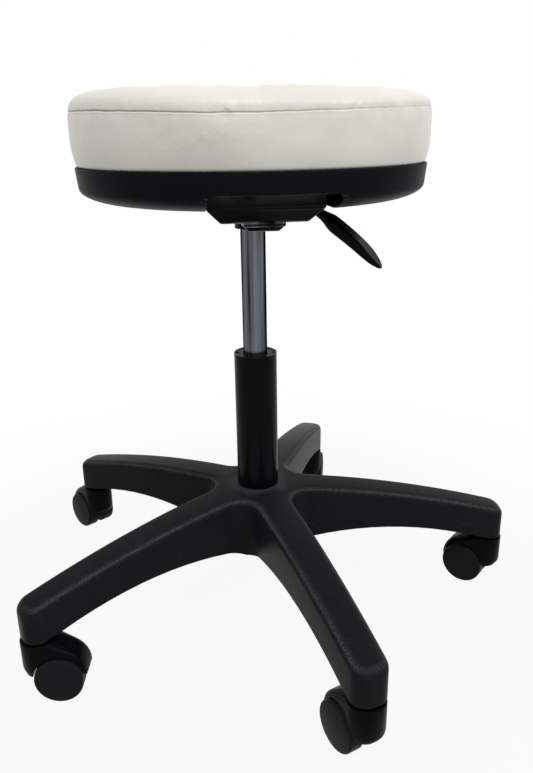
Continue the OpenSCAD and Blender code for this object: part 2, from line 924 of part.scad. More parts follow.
module mount_plate() {
    half_w = dish_w / 2;
    nose_half_w = nose_w / 2;
    nose_z = dish_z - nose_drop;
    nose_top_z = dish_z + dish_slope;
    nose_front = dish_front - dish_slope - 1;
    nose_back = 62 - dish_front;
    color("#18191a")
    on_seat()
        difference() {
            union() {
                translate([0, 0, flange_z])
                    linear_extrude(sheet_t)
                        plate_outline();
                difference() {
                    union() {
                        pressed_box(half_w, dish_front, dish_back,
                            dish_z, flange_z + cut, dish_slope, dish_bend_r);
                        pressed_box(nose_half_w, nose_front, nose_back,
                            nose_z, nose_top_z, nose_slope, nose_bend_r);
                    }
                    pressed_box(half_w - sheet_t, dish_front - sheet_t, dish_back - sheet_t,
                        dish_z + sheet_t, board_z + cut, dish_slope - sheet_t / 2, dish_bend_r - sheet_t);
                    pressed_box(nose_half_w - sheet_t, nose_front - sheet_t, nose_back - sheet_t,
                        nose_z + sheet_t, nose_top_z + cut, nose_slope - 1, nose_bend_r - sheet_t);
                }
                lever_ears();
            }
            translate([0, 0, dish_z - cut])
                cylinder(d = socket_d + 2 * fit, h = 2 * cut + sheet_t);
            translate([0, 0, flange_z - cut])
                linear_extrude(sheet_t + 2 * cut)
                    translate([sheet_t - half_w, sheet_t - dish_front])
                        square([dish_w - 2 * sheet_t, dish_front + dish_back - 2 * sheet_t]);
            each_bolt()
                translate([0, 0, flange_z - cut])
                    cylinder(d = bolt_d + 2 * room, h = sheet_t + 2 * cut);
            on_lever() {
                translate([lever_pivot_u, 0, pivot_z])
                    rotate([90, 0, 0])
                        cylinder(d = lever_pin_d + 2 * fit, h = 4 * lever_arm_w, center = true);
                translate([lever_pivot_u + 8, -lever_arm_w / 2 - 1.5, paddle_root_z - 9])
                    cube([wall_u, lever_arm_w + 3, 24]);
            }
        }
}

module plate_bolts() {
    head_h = 4;
    color("#8a8d90")
    on_seat()
        each_bolt() {
            translate([0, 0, flange_z - head_h])
                cylinder(d = 2 * bolt_d, h = head_h, $fn = 6);
            translate([0, 0, flange_z - cut])
                cylinder(d = bolt_d, h = sheet_t + board_t);
        }
}

// Flanged nuts let into the board from above
module tee_nuts() {
    color("#a9acae")
    on_seat()
        each_bolt()
            difference() {
                union() {
                    translate([0, 0, board_top_z - nut_barrel_h])
                        cylinder(d = nut_barrel_d, h = nut_barrel_h);
                    translate([0, 0, board_top_z])
                        cylinder(d = 3 * bolt_d, h = nut_flange_t);
                }
                translate([0, 0, board_z])
                    cylinder(d = bolt_d + 2 * fit, h = 2 * board_t);
            }
}

module seat_board() {
    color("#b8945f")
    on_seat()
        difference() {
            translate([0, 0, board_z])
                cylinder(r = board_r, h = board_t);
            each_bolt()
                translate([0, 0, board_z - cut])
                    cylinder(d = nut_barrel_d + 2 * fit, h = board_t + 2 * cut);
            each_pan_screw()
                translate([0, 0, board_z - cut])
                    cylinder(d = screw_d + 2 * fit, h = board_t - 2 + cut);
        }
}

// Seat pan

module each_pan_screw() {
    for (k = [0:pan_screws_n - 1])
        rotate(360 / pan_screws_n * (k + 0.5) + 90)
            translate([screw_ring_r, 0, 0])
                children();
}

// Outer profile of the pan from its floor to its rim, drawn in by an inset
function pan_side(inset) =
    let (
        knee_r = pan_r - pan_draft,
        knee_z = pan_top_z - pan_lip_h,
        steps = 9
    )
    concat(
        [for (k = [0:steps]) let (a = 90 * k / steps)
            [pan_floor_r + (knee_r - inset - pan_floor_r) * sin(a),
             knee_z - (knee_z - pan_z - inset) * cos(a)]],
        inset > 0
            ? [[pan_r - inset, pan_top_z]]
            : [for (k = [0:3]) let (a = 30 * k)
                [pan_r - pan_rim_r * (1 - cos(a)), pan_top_z - pan_rim_r * (1 - sin(a))]]);

function reversed(list) = [for (k = [len(list) - 1:-1:0]) list[k]];

// Opening in the pan's floor round the dish, with a slot for the lever and room to reach the bolts
module pan_window() {
    translate([-notch_w / 2, -window_front])
        square([notch_w, window_front + window_back]);
    on_lever()
        translate([0, -lever_slot_w / 2])
            square([lever_slot_u, lever_slot_w]);
    each_bolt()
        circle(r = bolt_reach_r);
}

// Opening in the pan's front that the dish comes out of, with rounded upper corners
module pan_notch() {
    top_z = pan_z + notch_h;
    translate([0, -window_front + cut, 0])
        rotate([90, 0, 0])
            linear_extrude(pan_r - window_front + 2 * cut)
                hull() {
                    translate([-notch_w / 2, pan_z - cut])
                        square([notch_w, cut]);
                    for (side = [-1, 1])
                        translate([side * (notch_w / 2 - notch_corner_r), top_z - notch_corner_r])
                            circle(r = notch_corner_r);
                }
}

module seat_pan() {
    color("#1a1b1d")
    on_seat()
        difference() {
            union() {
                rotate_extrude()
                    polygon(concat(
                        [[pan_eye_r, pan_z]],
                        pan_side(0),
                        reversed(pan_side(pan_wall)),
                        [[pan_eye_r, pan_z + pan_wall]]));
                intersection() {
                    each_pan_screw()
                        translate([0, 0, pan_z])
                            cylinder(r = screw_boss_r, h = board_z - pan_z);
                    rotate_extrude()
                        polygon(concat([[0, pan_z]], pan_side(1), [[0, pan_top_z]]));
                }
            }
            translate([0, 0, pan_z - cut])
                linear_extrude(pan_wall + 2 * cut)
                    pan_window();
            pan_notch();
            each_pan_screw()
                translate([0, 0, pan_z - cut]) {
                    cylinder(d = screw_d + 2 * room, h = pan_h);
                    cylinder(d = screw_head_d + 4 * room, h = screw_sink + cut);
                }
        }
}

module pan_screws() {
    head_h = 2.6;
    head_z = pan_z + screw_sink - head_h;
    color("#2a2b2d")
    on_seat()
        each_pan_screw() {
            translate([0, 0, head_z])
                cylinder(d = screw_head_d, h = head_h);
            translate([0, 0, head_z])
                cylinder(d = screw_d, h = board_top_z - screw_d - head_z);
        }
}

// Cushion

// Crown of the cushion from the seam to its flat middle
function crown(r_out, z_seam, z_top) =
    concat(
        [for (k = [0:crown_steps])
            let (
                a = 90 * k / crown_steps,
                r = max(crown_flat_r, r_out * pow(cos(a), 2 / crown_power)),
                z = k == crown_steps ? z_top : z_seam + (z_top - z_seam) * pow(sin(a), 2 / crown_power)
            )
            [r, z]],
        [[0, z_top]]);

module seat_foam() {
    skin = cover_t + room;
    color("#e7dfc8")
    on_seat()
        rotate_extrude()
            polygon(concat(
                [[0, foam_z],
                 [board_r - 1, foam_z],
                 [band_foot_r - skin, band_foot_z],
                 [cushion_r - skin, band_belly_z]],
                crown(seam_r - skin, seam_z, crown_z - skin)));
}

module cover_top() {
    color("#edebe6")
    on_seat()
        rotate_extrude()
            polygon(concat(
                crown(seam_r, seam_z, crown_z),
                reversed(crown(seam_r - cover_t, seam_z, crown_z - cover_t))));
}

// Side of the cover, tucked down between the board and the pan and turned under the board
module cover_band() {
    function side(inset) = [
        [tuck_r - inset, board_top_z],
        [tuck_r + 1 - inset, pan_top_z - 0.5],
        [band_foot_r - inset, band_foot_z],
        [cushion_r - inset, band_belly_z],
        [seam_r - inset, seam_z]];
    color("#d8d5ce")
    on_seat()
        rotate_extrude()
            polygon(concat(
                [[tuck_r - hem_w, board_z - cover_t - room],
                 [tuck_r, board_z - cover_t - room]],
                side(0),
                reversed(side(cover_t)),
                [[tuck_r - cover_t, board_z - room],
                 [tuck_r - hem_w, board_z - room]]));
}

// Lever

module lever_pin() {
    color("#a4a7aa")
    on_seat()
        on_lever()
            translate([lever_pivot_u, 0, pivot_z])
                rotate([90, 0, 0])
                    cylinder(d = lever_pin_d, h = lever_arm_w + 2 * (ear_gap + ear_t), center = true);
}

// Steel arm: a tongue over the button, a boss on the pin and a tail inside the paddle
module lever_arm() {
    color("#6d7073")
    on_seat()
        on_lever()
            rotate([90, 0, 0])
                linear_extrude(lever_arm_w, center = true)
                    difference() {
                        union() {
                            polygon([
                                [-6, tongue_z], [lever_pivot_u - 8, tongue_z], [lever_pivot_u - 5, pivot_z],
                                [lever_pivot_u, pivot_z - 6],
                                [paddle_root_u, paddle_root_z - arm_root_half_t],
                                [arm_tail_u, paddle_z(arm_tail_u) - arm_tail_half_t],
                                [arm_tail_u, paddle_z(arm_tail_u) + arm_tail_half_t],
                                [paddle_root_u, paddle_root_z + arm_root_half_t],
                                [lever_pivot_u + 5, pivot_z + 4],
                                [lever_pivot_u, tongue_z + tongue_t], [-6, tongue_z + tongue_t]]);
                            translate([lever_pivot_u, pivot_z])
                                circle(r = lever_pin_d / 2 + 3);
                        }
                        translate([lever_pivot_u, pivot_z])
                            circle(d = lever_pin_d + 2 * run);
                    }
}

// Centre line of the paddle, nearly straight, with a slight droop towards its tip
function paddle_z(u) =
    let (t = (u - paddle_root_u) / (paddle_tip_u - paddle_root_u))
    paddle_root_z - paddle_fall * ((1 - paddle_droop) * t + paddle_droop * pow(t, 3));

// Smooth step from 0 to 1
function ease(t) = let (c = min(1, max(0, t))) c * c * (3 - 2 * c);

// One section of the paddle: a neck that swells to a blunt bar, hollowed above for the fingertips
function paddle_section(k) =
    let (
        t = 1 - pow(1 - k / paddle_sections, 1.5),
        u = paddle_root_u + (paddle_tip_u - paddle_root_u) * t,
        swell = ease((t - swell_start) / swell_run),
        blunt = t < blunt_start ? 1 : sqrt(1 - pow((t - blunt_start) / (1.002 - blunt_start), 2)),
        half_w = blunt * (neck_w + (paddle_w - neck_w) * swell) / 2,
        half_t = blunt * (neck_t + (paddle_t - neck_t) * swell) / 2 * (1 - paddle_thinning * pow(t, 3)),
        scoop = paddle_scoop * blunt * swell
    )
    [for (j = [0:paddle_sides - 1]) let (
        a = 360 * j / paddle_sides,
        c = sign(cos(a)) * pow(abs(cos(a)), 0.5),
        s = sign(sin(a)) * pow(abs(sin(a)), 0.5),
        hollow = s > 0 ? scoop * (1 - pow(c, 4)) * s : 0
    )
        [u, half_w * c, paddle_z(u) + half_t * s - hollow]];

module paddle_body() {
    last = paddle_sections * paddle_sides;
    polyhedron(
        [for (k = [0:paddle_sections], p = paddle_section(k)) p],
        concat(
            [for (k = [0:paddle_sections - 1], j = [0:paddle_sides - 1])
                let (a = k * paddle_sides + j, b = k * paddle_sides + (j + 1) % paddle_sides)
                [a, a + paddle_sides, b + paddle_sides, b]],
            [[for (j = [0:paddle_sides - 1]) j]],
            [[for (j = [paddle_sides - 1:-1:0]) last + j]]),
        convexity = 6);
}

module lever_paddle() {
    root_half_t = arm_root_half_t + fit;
    tail_half_t = arm_tail_half_t + fit;
    color("#1b1c1d")
    on_seat()
        on_lever()
            difference() {
                paddle_body();
                rotate([90, 0, 0])
                    linear_extrude(lever_arm_w + 2 * fit, center = true)
                        polygon([
                            [paddle_root_u - cut, paddle_root_z - root_half_t],
                            [paddle_root_u, paddle_root_z - root_half_t],
                            [arm_tail_u + fit, paddle_z(arm_tail_u) - tail_half_t],
                            [arm_tail_u + fit, paddle_z(arm_tail_u) + tail_half_t],
                            [paddle_root_u, paddle_root_z + root_half_t],
                            [paddle_root_u - cut, paddle_root_z + root_half_t]]);
            }
}

star_base();
caster_stems();
stem_grip_rings();
column_tube();
guide_bush();
bearing_lower_race();
bearing_upper_race();
bearing_balls();
ball_cage();
piston_rod();
piston();
piston_seal();
bump_buffer();
rod_washer();
rod_clip();
pressure_tube();
rod_gland();
gland_seal();
valve_block();
release_button();
taper_socket();
mount_plate();
plate_bolts();
tee_nuts();
seat_board();
seat_pan();
pan_screws();
seat_foam();
cover_top();
cover_band();
lever_pin();
lever_arm();
lever_paddle();
for (i = [1:ARMS]) {
    caster_hood(i - 1);
    caster_axle(i - 1);
    caster_wheel(i - 1, -90);
    caster_wheel(i - 1, 90);
}
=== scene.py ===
import json
import math

import bmesh
import bpy
import numpy as np
from bpy.props import FloatProperty, FloatVectorProperty, IntProperty, PointerProperty
from mathutils import Matrix, Vector, noise


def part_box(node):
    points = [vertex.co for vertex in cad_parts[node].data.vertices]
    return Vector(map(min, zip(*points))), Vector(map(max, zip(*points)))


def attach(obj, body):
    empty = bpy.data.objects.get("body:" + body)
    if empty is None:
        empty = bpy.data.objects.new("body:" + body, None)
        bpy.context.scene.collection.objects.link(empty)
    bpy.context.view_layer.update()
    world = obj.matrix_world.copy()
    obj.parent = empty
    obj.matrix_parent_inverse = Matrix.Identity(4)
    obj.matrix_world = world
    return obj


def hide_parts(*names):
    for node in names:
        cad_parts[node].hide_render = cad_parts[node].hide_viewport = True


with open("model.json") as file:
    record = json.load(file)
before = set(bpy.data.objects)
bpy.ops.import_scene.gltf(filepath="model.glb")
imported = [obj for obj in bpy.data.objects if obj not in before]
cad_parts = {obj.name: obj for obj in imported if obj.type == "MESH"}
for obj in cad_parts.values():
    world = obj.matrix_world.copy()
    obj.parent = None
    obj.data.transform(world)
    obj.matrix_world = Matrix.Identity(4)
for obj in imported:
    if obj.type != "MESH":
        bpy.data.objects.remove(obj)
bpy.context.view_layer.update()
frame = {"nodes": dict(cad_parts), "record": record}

bl_info = {
    "name": "Work stool finisher",
    "version": (1, 0, 0),
    "blender": (4, 5, 0),
    "location": "View3D > Sidebar > Stool",
    "description": "Pads, smooths and finishes a gas-lift work stool and sets it in a small studio",
    "category": "Object",
}

# What the CAD model sets, in metres
PAN_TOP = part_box("seat_pan")[1].z
SEAM_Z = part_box("cover_top")[0].z
CROWN_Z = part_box("cover_top")[1].z
CUSHION_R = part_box("cover_band")[1].x
NUT_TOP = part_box("tee_nuts")[1].z
SLOT_OF = {part["node"]: part["material_slot"] for part in frame["record"]["subparts"]}

# The padded seat clears the tee nuts, and its crown starts just inside its side
FOOT_Z = NUT_TOP + 0.0004
SEAM_R = CUSHION_R - 0.0005

# Points of a CAD mesh that are closer than this are one point
MERGE = 1e-5
MM_PER_METRE = 1000.0

# A Mix node's sockets for colours, which share their names with its other sockets
FACTOR, COLOUR_A, COLOUR_B, COLOUR_OUT = 0, 6, 7, 2

# One material for each of the record's slots, filled by the finishes step
FINISHES = {}


def linear(hex_colour):
    """An sRGB hex colour as the linear RGBA that a shader socket takes."""
    channels = [int(hex_colour[i:i + 2], 16) / 255 for i in (1, 3, 5)]
    return (*(c / 12.92 if c <= 0.04045 else ((c + 0.055) / 1.055) ** 2.4 for c in channels), 1.0)


# Sizes and colours that a user would change


class StoolSeat(bpy.types.PropertyGroup):
    """Sizes of the padded seat"""

    swell: FloatProperty(
        name="Swell", description="How far the foam may push the cover out",
        default=0.0075, min=0.0, max=0.02, unit="LENGTH")
    weave: FloatProperty(
        name="Cover mesh", description="Size of the cover's mesh while it is filled",
        default=0.005, min=0.004, max=0.006, unit="LENGTH")
    slack: FloatProperty(
        name="Slack", description="Share of the filled cover's unevenness left after it is drawn tight",
        default=0.3, min=0.0, max=1.0, subtype="FACTOR")
    shoulder: FloatProperty(
        name="Shoulder", description="Width of the crown's rounded shoulder",
        default=0.028, min=0.01, max=0.08, unit="LENGTH")
    dome: FloatProperty(
        name="Dome", description="How far the middle of the crown stands above its shoulder",
        default=0.0034, min=0.0, max=0.01, unit="LENGTH")
    crown_rise: FloatProperty(
        name="Crown rise", description="How far the padding stands proud of the crown's CAD height",
        default=0.0012, min=0.0, max=0.01, unit="LENGTH")
    lean: FloatProperty(
        name="Lean", description="How much fuller the padding is at the left edge than in the middle",
        default=0.0026, min=0.0, max=0.008, unit="LENGTH")
    seam_wave: FloatProperty(
        name="Seam wave", description="How far the seam wanders up and down round the cushion",
        default=0.0019, min=0.0, max=0.006, unit="LENGTH")
    seam_depth: FloatProperty(
        name="Seam depth", description="How deep the sewn seam draws the cover in",
        default=0.0012, min=0.0, max=0.004, unit="LENGTH")
    pucker: FloatProperty(
        name="Pucker", description="Height of the small gathers beside the seam",
        default=0.0005, min=0.0, max=0.002, unit="LENGTH")
    crease: FloatProperty(
        name="Crease", description="Height of the slack creases on the cushion's side",
        default=0.0002, min=0.0, max=0.002, unit="LENGTH")


class StoolColours(bpy.types.PropertyGroup):
    """Colours of the stool's finishes"""

    vinyl: FloatVectorProperty(
        name="Vinyl", description="Coated cloth of the seat",
        default=linear("#E7E4DD"), size=4, min=0, max=1, subtype="COLOR")
    vinyl_shade: FloatVectorProperty(
        name="Vinyl, rubbed", description="Where the coated cloth has yellowed and dulled",
        default=linear("#DEDAD1"), size=4, min=0, max=1, subtype="COLOR")
    nylon: FloatVectorProperty(
        name="Nylon", description="Moulded base and wheels",
        default=linear("#1B1F1F"), size=4, min=0, max=1, subtype="COLOR")
    # Darker than the nylon: on the hoods this black is partly painted shade from the arm tips above
    hood: FloatVectorProperty(
        name="Hood", description="Smooth black of the caster hoods and the lever",
        default=linear("#07090A"), size=4, min=0, max=1, subtype="COLOR")
    pan: FloatVectorProperty(
        name="Pan", description="Moulded pan under the cushion",
        default=linear("#111517"), size=4, min=0, max=1, subtype="COLOR")
    enamel: FloatVectorProperty(
        name="Enamel", description="Black paint on the column and the seat plate",
        default=linear("#050607"), size=4, min=0, max=1, subtype="COLOR")


class StoolStudio(bpy.types.PropertyGroup):
    """Camera, lamps and floor"""

    frame_height: IntProperty(
        name="Frame height", description="Height of the picture that the focal length is counted in",
        default=773, min=1, subtype="PIXEL")
    focal: FloatProperty(
        name="Focal length", description="Focal length in pixels of that picture",
        default=723.5, min=1.0, subtype="PIXEL")
    camera_place: FloatVectorProperty(
        name="Camera place", description="Where the camera stands",
        default=(0.0124, -0.8138, 0.5651), size=3, subtype="TRANSLATION", unit="LENGTH")
    camera_pitch: FloatProperty(
        name="Camera pitch", description="How far the camera looks down",
        default=math.radians(19.36), unit="ROTATION")
    camera_roll: FloatProperty(
        name="Camera roll", description="How far the camera leans",
        default=math.radians(-0.91), unit="ROTATION")
    sky_level: FloatProperty(
        name="Room light", description="Even light from all round",
        default=0.58, min=0.0, max=2.0)
    lamp_aim: FloatVectorProperty(
        name="Lamp aim", description="What both lamps are turned to",
        default=(0.0, 0.0, 0.35), size=3, subtype="TRANSLATION", unit="LENGTH")
    top_place: FloatVectorProperty(
        name="Overhead lamp place", description="Where the lamp above and before the stool hangs",
        default=(-0.1, -1.15, 2.3), size=3, subtype="TRANSLATION", unit="LENGTH")
    top_size: FloatProperty(
        name="Overhead lamp size", description="Width of the overhead lamp",
        default=0.5, min=0.01, unit="LENGTH")
    top_power: FloatProperty(
        name="Overhead lamp", description="Power of the overhead lamp",
        default=14.2, min=0.0, unit="POWER")
    side_place: FloatVectorProperty(
        name="Side lamp place", description="Where the lamp at the right hangs",
        default=(1.45, -0.75, 1.8), size=3, subtype="TRANSLATION", unit="LENGTH")
    side_size: FloatProperty(
        name="Side lamp size", description="Width of the side lamp",
        default=0.4, min=0.01, unit="LENGTH")
    side_power: FloatProperty(
        name="Side lamp", description="Power of the side lamp",
        default=12.0, min=0.0, unit="POWER")
    floor_radius: FloatProperty(
        name="Floor", description="Radius of the studio floor",
        default=9.0, min=1.0, unit="LENGTH")
    floor_colour: FloatVectorProperty(
        name="Floor paint", description="Paint that takes the stool's shadow",
        default=linear("#BCBCBA"), size=4, min=0, max=1, subtype="COLOR")
    floor_white: FloatProperty(
        name="Floor white", description="Share of plain white in the floor close to the stool",
        default=0.92, min=0.0, max=1.0, subtype="FACTOR")
    floor_near: FloatProperty(
        name="Shadow", description="How far from the middle the floor starts to run out to plain white",
        default=0.3, min=0.0, unit="LENGTH")
    floor_far: FloatProperty(
        name="Shadow's end", description="How far from the middle the floor is all plain white",
        default=0.8, min=0.0, unit="LENGTH")


# Working by hand: selection, edit mode and modifiers


def clear_selection():
    """Leaves edit mode and selects nothing, so that the next operator acts only on what it is given."""
    if bpy.context.mode != "OBJECT":
        bpy.ops.object.mode_set(mode="OBJECT")
    bpy.ops.object.select_all(action="DESELECT")


def hold(obj):
    """Selects one object and makes it the active one."""
    clear_selection()
    obj.select_set(True)
    bpy.context.view_layer.objects.active = obj


def open_and_pick(obj, kind, test):
    """Opens a mesh in edit mode with those of its edges or faces selected that pass the test."""
    hold(obj)
    bpy.ops.object.mode_set(mode="EDIT")
    bpy.ops.mesh.select_all(action="DESELECT")
    bpy.ops.mesh.select_mode(type=kind)
    mesh = bmesh.from_edit_mesh(obj.data)
    for item in mesh.edges if kind == "EDGE" else mesh.faces:
        if test(item):
            item.select_set(True)
    mesh.select_flush_mode()
    bmesh.update_edit_mesh(obj.data)


def finish_modifier(obj, kind, **settings):
    """Adds one modifier and applies it."""
    hold(obj)
    bpy.ops.object.modifier_add(type=kind)
    modifier = obj.modifiers[-1]
    for name, value in settings.items():
        setattr(modifier, name, value)
    bpy.ops.object.modifier_apply(modifier=modifier.name)


def coordinates(obj):
    """The places of a mesh's points, one row each."""
    co = np.empty(3 * len(obj.data.vertices))
    obj.data.vertices.foreach_get("co", co)
    return co.reshape(-1, 3)


def put_back(obj, co):
    """Moves a mesh's points to new places."""
    obj.data.vertices.foreach_set("co", co.ravel())
    obj.data.update()


def bump_at(distance, middle, width):
    """A smooth bump of height one: how much of it is left at a distance."""
    return np.exp(-((distance - middle) / width) ** 2)


def mark(obj, name, values):
    """Writes one number for each point of a mesh, for a material to read."""
    obj.data.attributes.new(name, "FLOAT", "POINT").data.foreach_set("value", values)


def merged_copy(node, name):
    """A copy of a CAD node's solid with its loose triangles joined."""
    obj = bpy.data.objects.new(name, frame["nodes"][node].data.copy())
    bpy.context.scene.collection.objects.link(obj)
    hold(obj)
    bpy.ops.mesh.customdata_custom_splitnormals_clear()
    bpy.ops.object.mode_set(mode="EDIT")
    bpy.ops.mesh.select_all(action="SELECT")
    bpy.ops.mesh.remove_doubles(threshold=MERGE)
    bpy.ops.object.mode_set(mode="OBJECT")
    return obj


def soften(obj, width):
    """Rounds a part's longer sharp outer edges, as moulding, pressing and paint do."""
    flat, sharp, shortest = math.radians(0.6), math.radians(40), 0.003
    hold(obj)
    bpy.ops.object.mode_set(mode="EDIT")
    bpy.ops.mesh.select_all(action="SELECT")
    bpy.ops.mesh.dissolve_limited(angle_limit=flat)
    open_and_pick(obj, "EDGE", lambda e: e.is_convex and e.calc_length() > shortest
                  and e.calc_face_angle() > sharp)
    bpy.ops.mesh.bevel(offset=width, segments=3, affect="EDGES", clamp_overlap=False)
    bpy.ops.mesh.select_all(action="SELECT")
    bpy.ops.mesh.remove_doubles(threshold=1e-6)
    bpy.ops.object.mode_set(mode="OBJECT")


def mark_edges(obj, edge_r, slope, spread):
    """Marks the rounded edges of about this radius that face up or down by this slope, for a painted
    highlight along them, which on the base also stands for wear.
    """
    least_bend, gain = 0.55, 2.2
    mesh = bmesh.new()
    mesh.from_mesh(obj.data)
    highlight_and_wear = []
    for vert in mesh.verts:
        bends = []
        for edge in vert.link_edges:
            away = vert.co - edge.other_vert(vert).co
            bends.append(2 * vert.normal.dot(away) / edge.calc_length() ** 2)
        rounded = min(max(gain * (max(bends) * edge_r - least_bend), 0.0), 1.0)
        highlight_and_wear.append(rounded * bump_at(vert.normal.z, slope, spread))
    mesh.free()
    mark(obj, "edge_highlight_and_wear", highlight_and_wear)


def smooth(obj, angle):
    """Shades a mesh smooth, apart from edges that turn by more than an angle in degrees."""
    hold(obj)
    bpy.ops.object.shade_smooth_by_angle(angle=math.radians(angle))


def settle(obj, body, slot, *stands_for):
    """Gives a finished piece its material and the body it moves with, and hides the CAD nodes it stands for.
    """
    clear_selection()
    obj.data.materials.clear()
    obj.data.materials.append(FINISHES[slot])
    for face in obj.data.polygons:
        face.material_index = 0
    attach(obj, body)
    if stands_for:
        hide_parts(*stands_for)


def island_feet(node):
    """The middle of each separate solid of a CAD node, at its lowest height."""
    mesh = bmesh.new()
    mesh.from_mesh(frame["nodes"][node].data)
    bmesh.ops.remove_doubles(mesh, verts=mesh.verts, dist=MERGE)
    left = set(mesh.verts)
    feet = []
    while left:
        island = []
        front = [left.pop()]
        while front:
            vert = front.pop()
            island.append(vert.co.copy())
            for edge in vert.link_edges:
                other = edge.other_vert(vert)
                if other in left:
                    left.remove(other)
                    front.append(other)
        low, high = np.min(island, axis=0), np.max(island, axis=0)
        feet.append(Vector((*((low + high) / 2)[:2], low[2])))
    mesh.free()
    return sorted(feet, key=lambda p: math.atan2(p.y, p.x))


# Finishes


def add(tree, kind, settings=None, links=None):
    """One shader node. Lower-case settings are its own, the rest are its sockets; links feed its sockets."""
    node = tree.nodes.new(kind)
    for key, value in (settings or {}).items():
        if isinstance(key, str) and key[0].islower():
            setattr(node, key, value)
        else:
            node.inputs[key].default_value = value
    for key, output in (links or {}).items():
        tree.links.new(output, node.inputs[key])
    return node


def per_mm(size):
    """Texture scale at which one feature is this many millimetres wide."""
    return MM_PER_METRE / size


def empty_tree(owner):
    """The cleared node tree of a material or a world."""
    owner.use_nodes = True
    owner.node_tree.nodes.clear()
    return owner.node_tree


def surface(name, shader):
    """A new material with its shader, and the piece's own coordinates in metres."""
    material = bpy.data.materials.new(name)
    tree = empty_tree(material)
    skin = add(tree, "ShaderNodeBsdfPrincipled", shader)
    add(tree, "ShaderNodeOutputMaterial", links={"Surface": skin.outputs["BSDF"]})
    return material, tree, skin, add(tree, "ShaderNodeTexCoord").outputs["Object"]


def roughen(tree, skin, height, rough, strength, depth_mm):
    """Lets one pattern set a surface's bump, and its roughness between two limits."""
    gloss = add(tree, "ShaderNodeMapRange", {"To Min": rough[0], "To Max": rough[1]}, {"Value": height})
    tree.links.new(gloss.outputs["Result"], skin.inputs["Roughness"])
    bump = add(tree, "ShaderNodeBump", {"Strength": strength, "Distance": depth_mm / MM_PER_METRE},
               {"Height": height})
    tree.links.new(bump.outputs["Normal"], skin.inputs["Normal"])


def paint_edge_highlight(tree, tint, share, pale):
    """Mixes a share of a paler colour into a tint where the piece's edge_highlight_and_wear attribute marks
    its edges: a painted highlight, which on the base's arms also stands for wear.
    """
    edges = add(tree, "ShaderNodeAttribute", {"attribute_name": "edge_highlight_and_wear"})
    amount = add(tree, "ShaderNodeMath", {"operation": "MULTIPLY"}, {0: edges.outputs["Fac"], 1: share})
    return add(tree, "ShaderNodeMix", {"data_type": "RGBA", COLOUR_B: pale},
               {FACTOR: amount.outputs["Value"], COLOUR_A: tint.outputs[COLOUR_OUT]})


def coated_cloth(colours):
    # PVC-coated cloth, embossed and lacquered: off-white with a soft satin gloss, a pebbled grain and
    # cloudy patches where it has rubbed and yellowed. The real grain is about 0.8 mm and is drawn at 1.7 mm.
    # The seam's groove is darkened with painted shade, where the cover's own seam_shade attribute marks it.
    material, tree, skin, at = surface("pvc_coated_cloth", {"IOR": 1.5, "Specular IOR Level": 0.35})
    clouds = add(tree, "ShaderNodeTexNoise", {"Scale": per_mm(90), "Detail": 3.0}, {"Vector": at})
    patch = add(tree, "ShaderNodeMapRange", {"From Min": 0.42, "From Max": 0.75},
                {"Value": clouds.outputs["Fac"]})
    tint = add(tree, "ShaderNodeMix",
               {"data_type": "RGBA", COLOUR_A: colours.vinyl, COLOUR_B: colours.vinyl_shade},
               {FACTOR: patch.outputs["Result"]})
    seam = add(tree, "ShaderNodeAttribute", {"attribute_name": "seam_shade"})
    # Painted shade in the seam's groove, mixed towards a dark grey-brown
    seam_painted_shade = add(tree, "ShaderNodeMix", {"data_type": "RGBA", COLOUR_B: linear("#8A8277")},
                {FACTOR: seam.outputs["Fac"], COLOUR_A: tint.outputs[COLOUR_OUT]})
    tree.links.new(seam_painted_shade.outputs[COLOUR_OUT], skin.inputs["Base Color"])
    pebbles = add(tree, "ShaderNodeTexVoronoi",
                  {"feature": "SMOOTH_F1", "Scale": per_mm(1.7), "Smoothness": 0.6}, {"Vector": at})
    # Fine creases, 4 mm apart and 26 mm long, slant across the cloth where its slack attribute is high
    slanted = add(tree, "ShaderNodeMapping",
                  {"vector_type": "TEXTURE", "Rotation": (0, math.radians(-38), 0),
                   "Scale": (0.026, 0.026, 0.004)}, {"Vector": at})
    creases = add(tree, "ShaderNodeTexNoise", {"Scale": 1.0, "Detail": 2.0, "Distortion": 0.5},
                  {"Vector": slanted.outputs["Vector"]})
    loose = add(tree, "ShaderNodeAttribute", {"attribute_name": "slack"})
    fold = add(tree, "ShaderNodeMath", {"operation": "MULTIPLY"},
               {0: creases.outputs["Fac"], 1: loose.outputs["Fac"]})
    grain = add(tree, "ShaderNodeMath", {"operation": "MULTIPLY_ADD", 1: 0.16},
                {0: pebbles.outputs["Distance"], 2: fold.outputs["Value"]})
    roughen(tree, skin, grain.outputs["Value"], rough=(0.26, 0.5), strength=1.0, depth_mm=0.4)
    return material


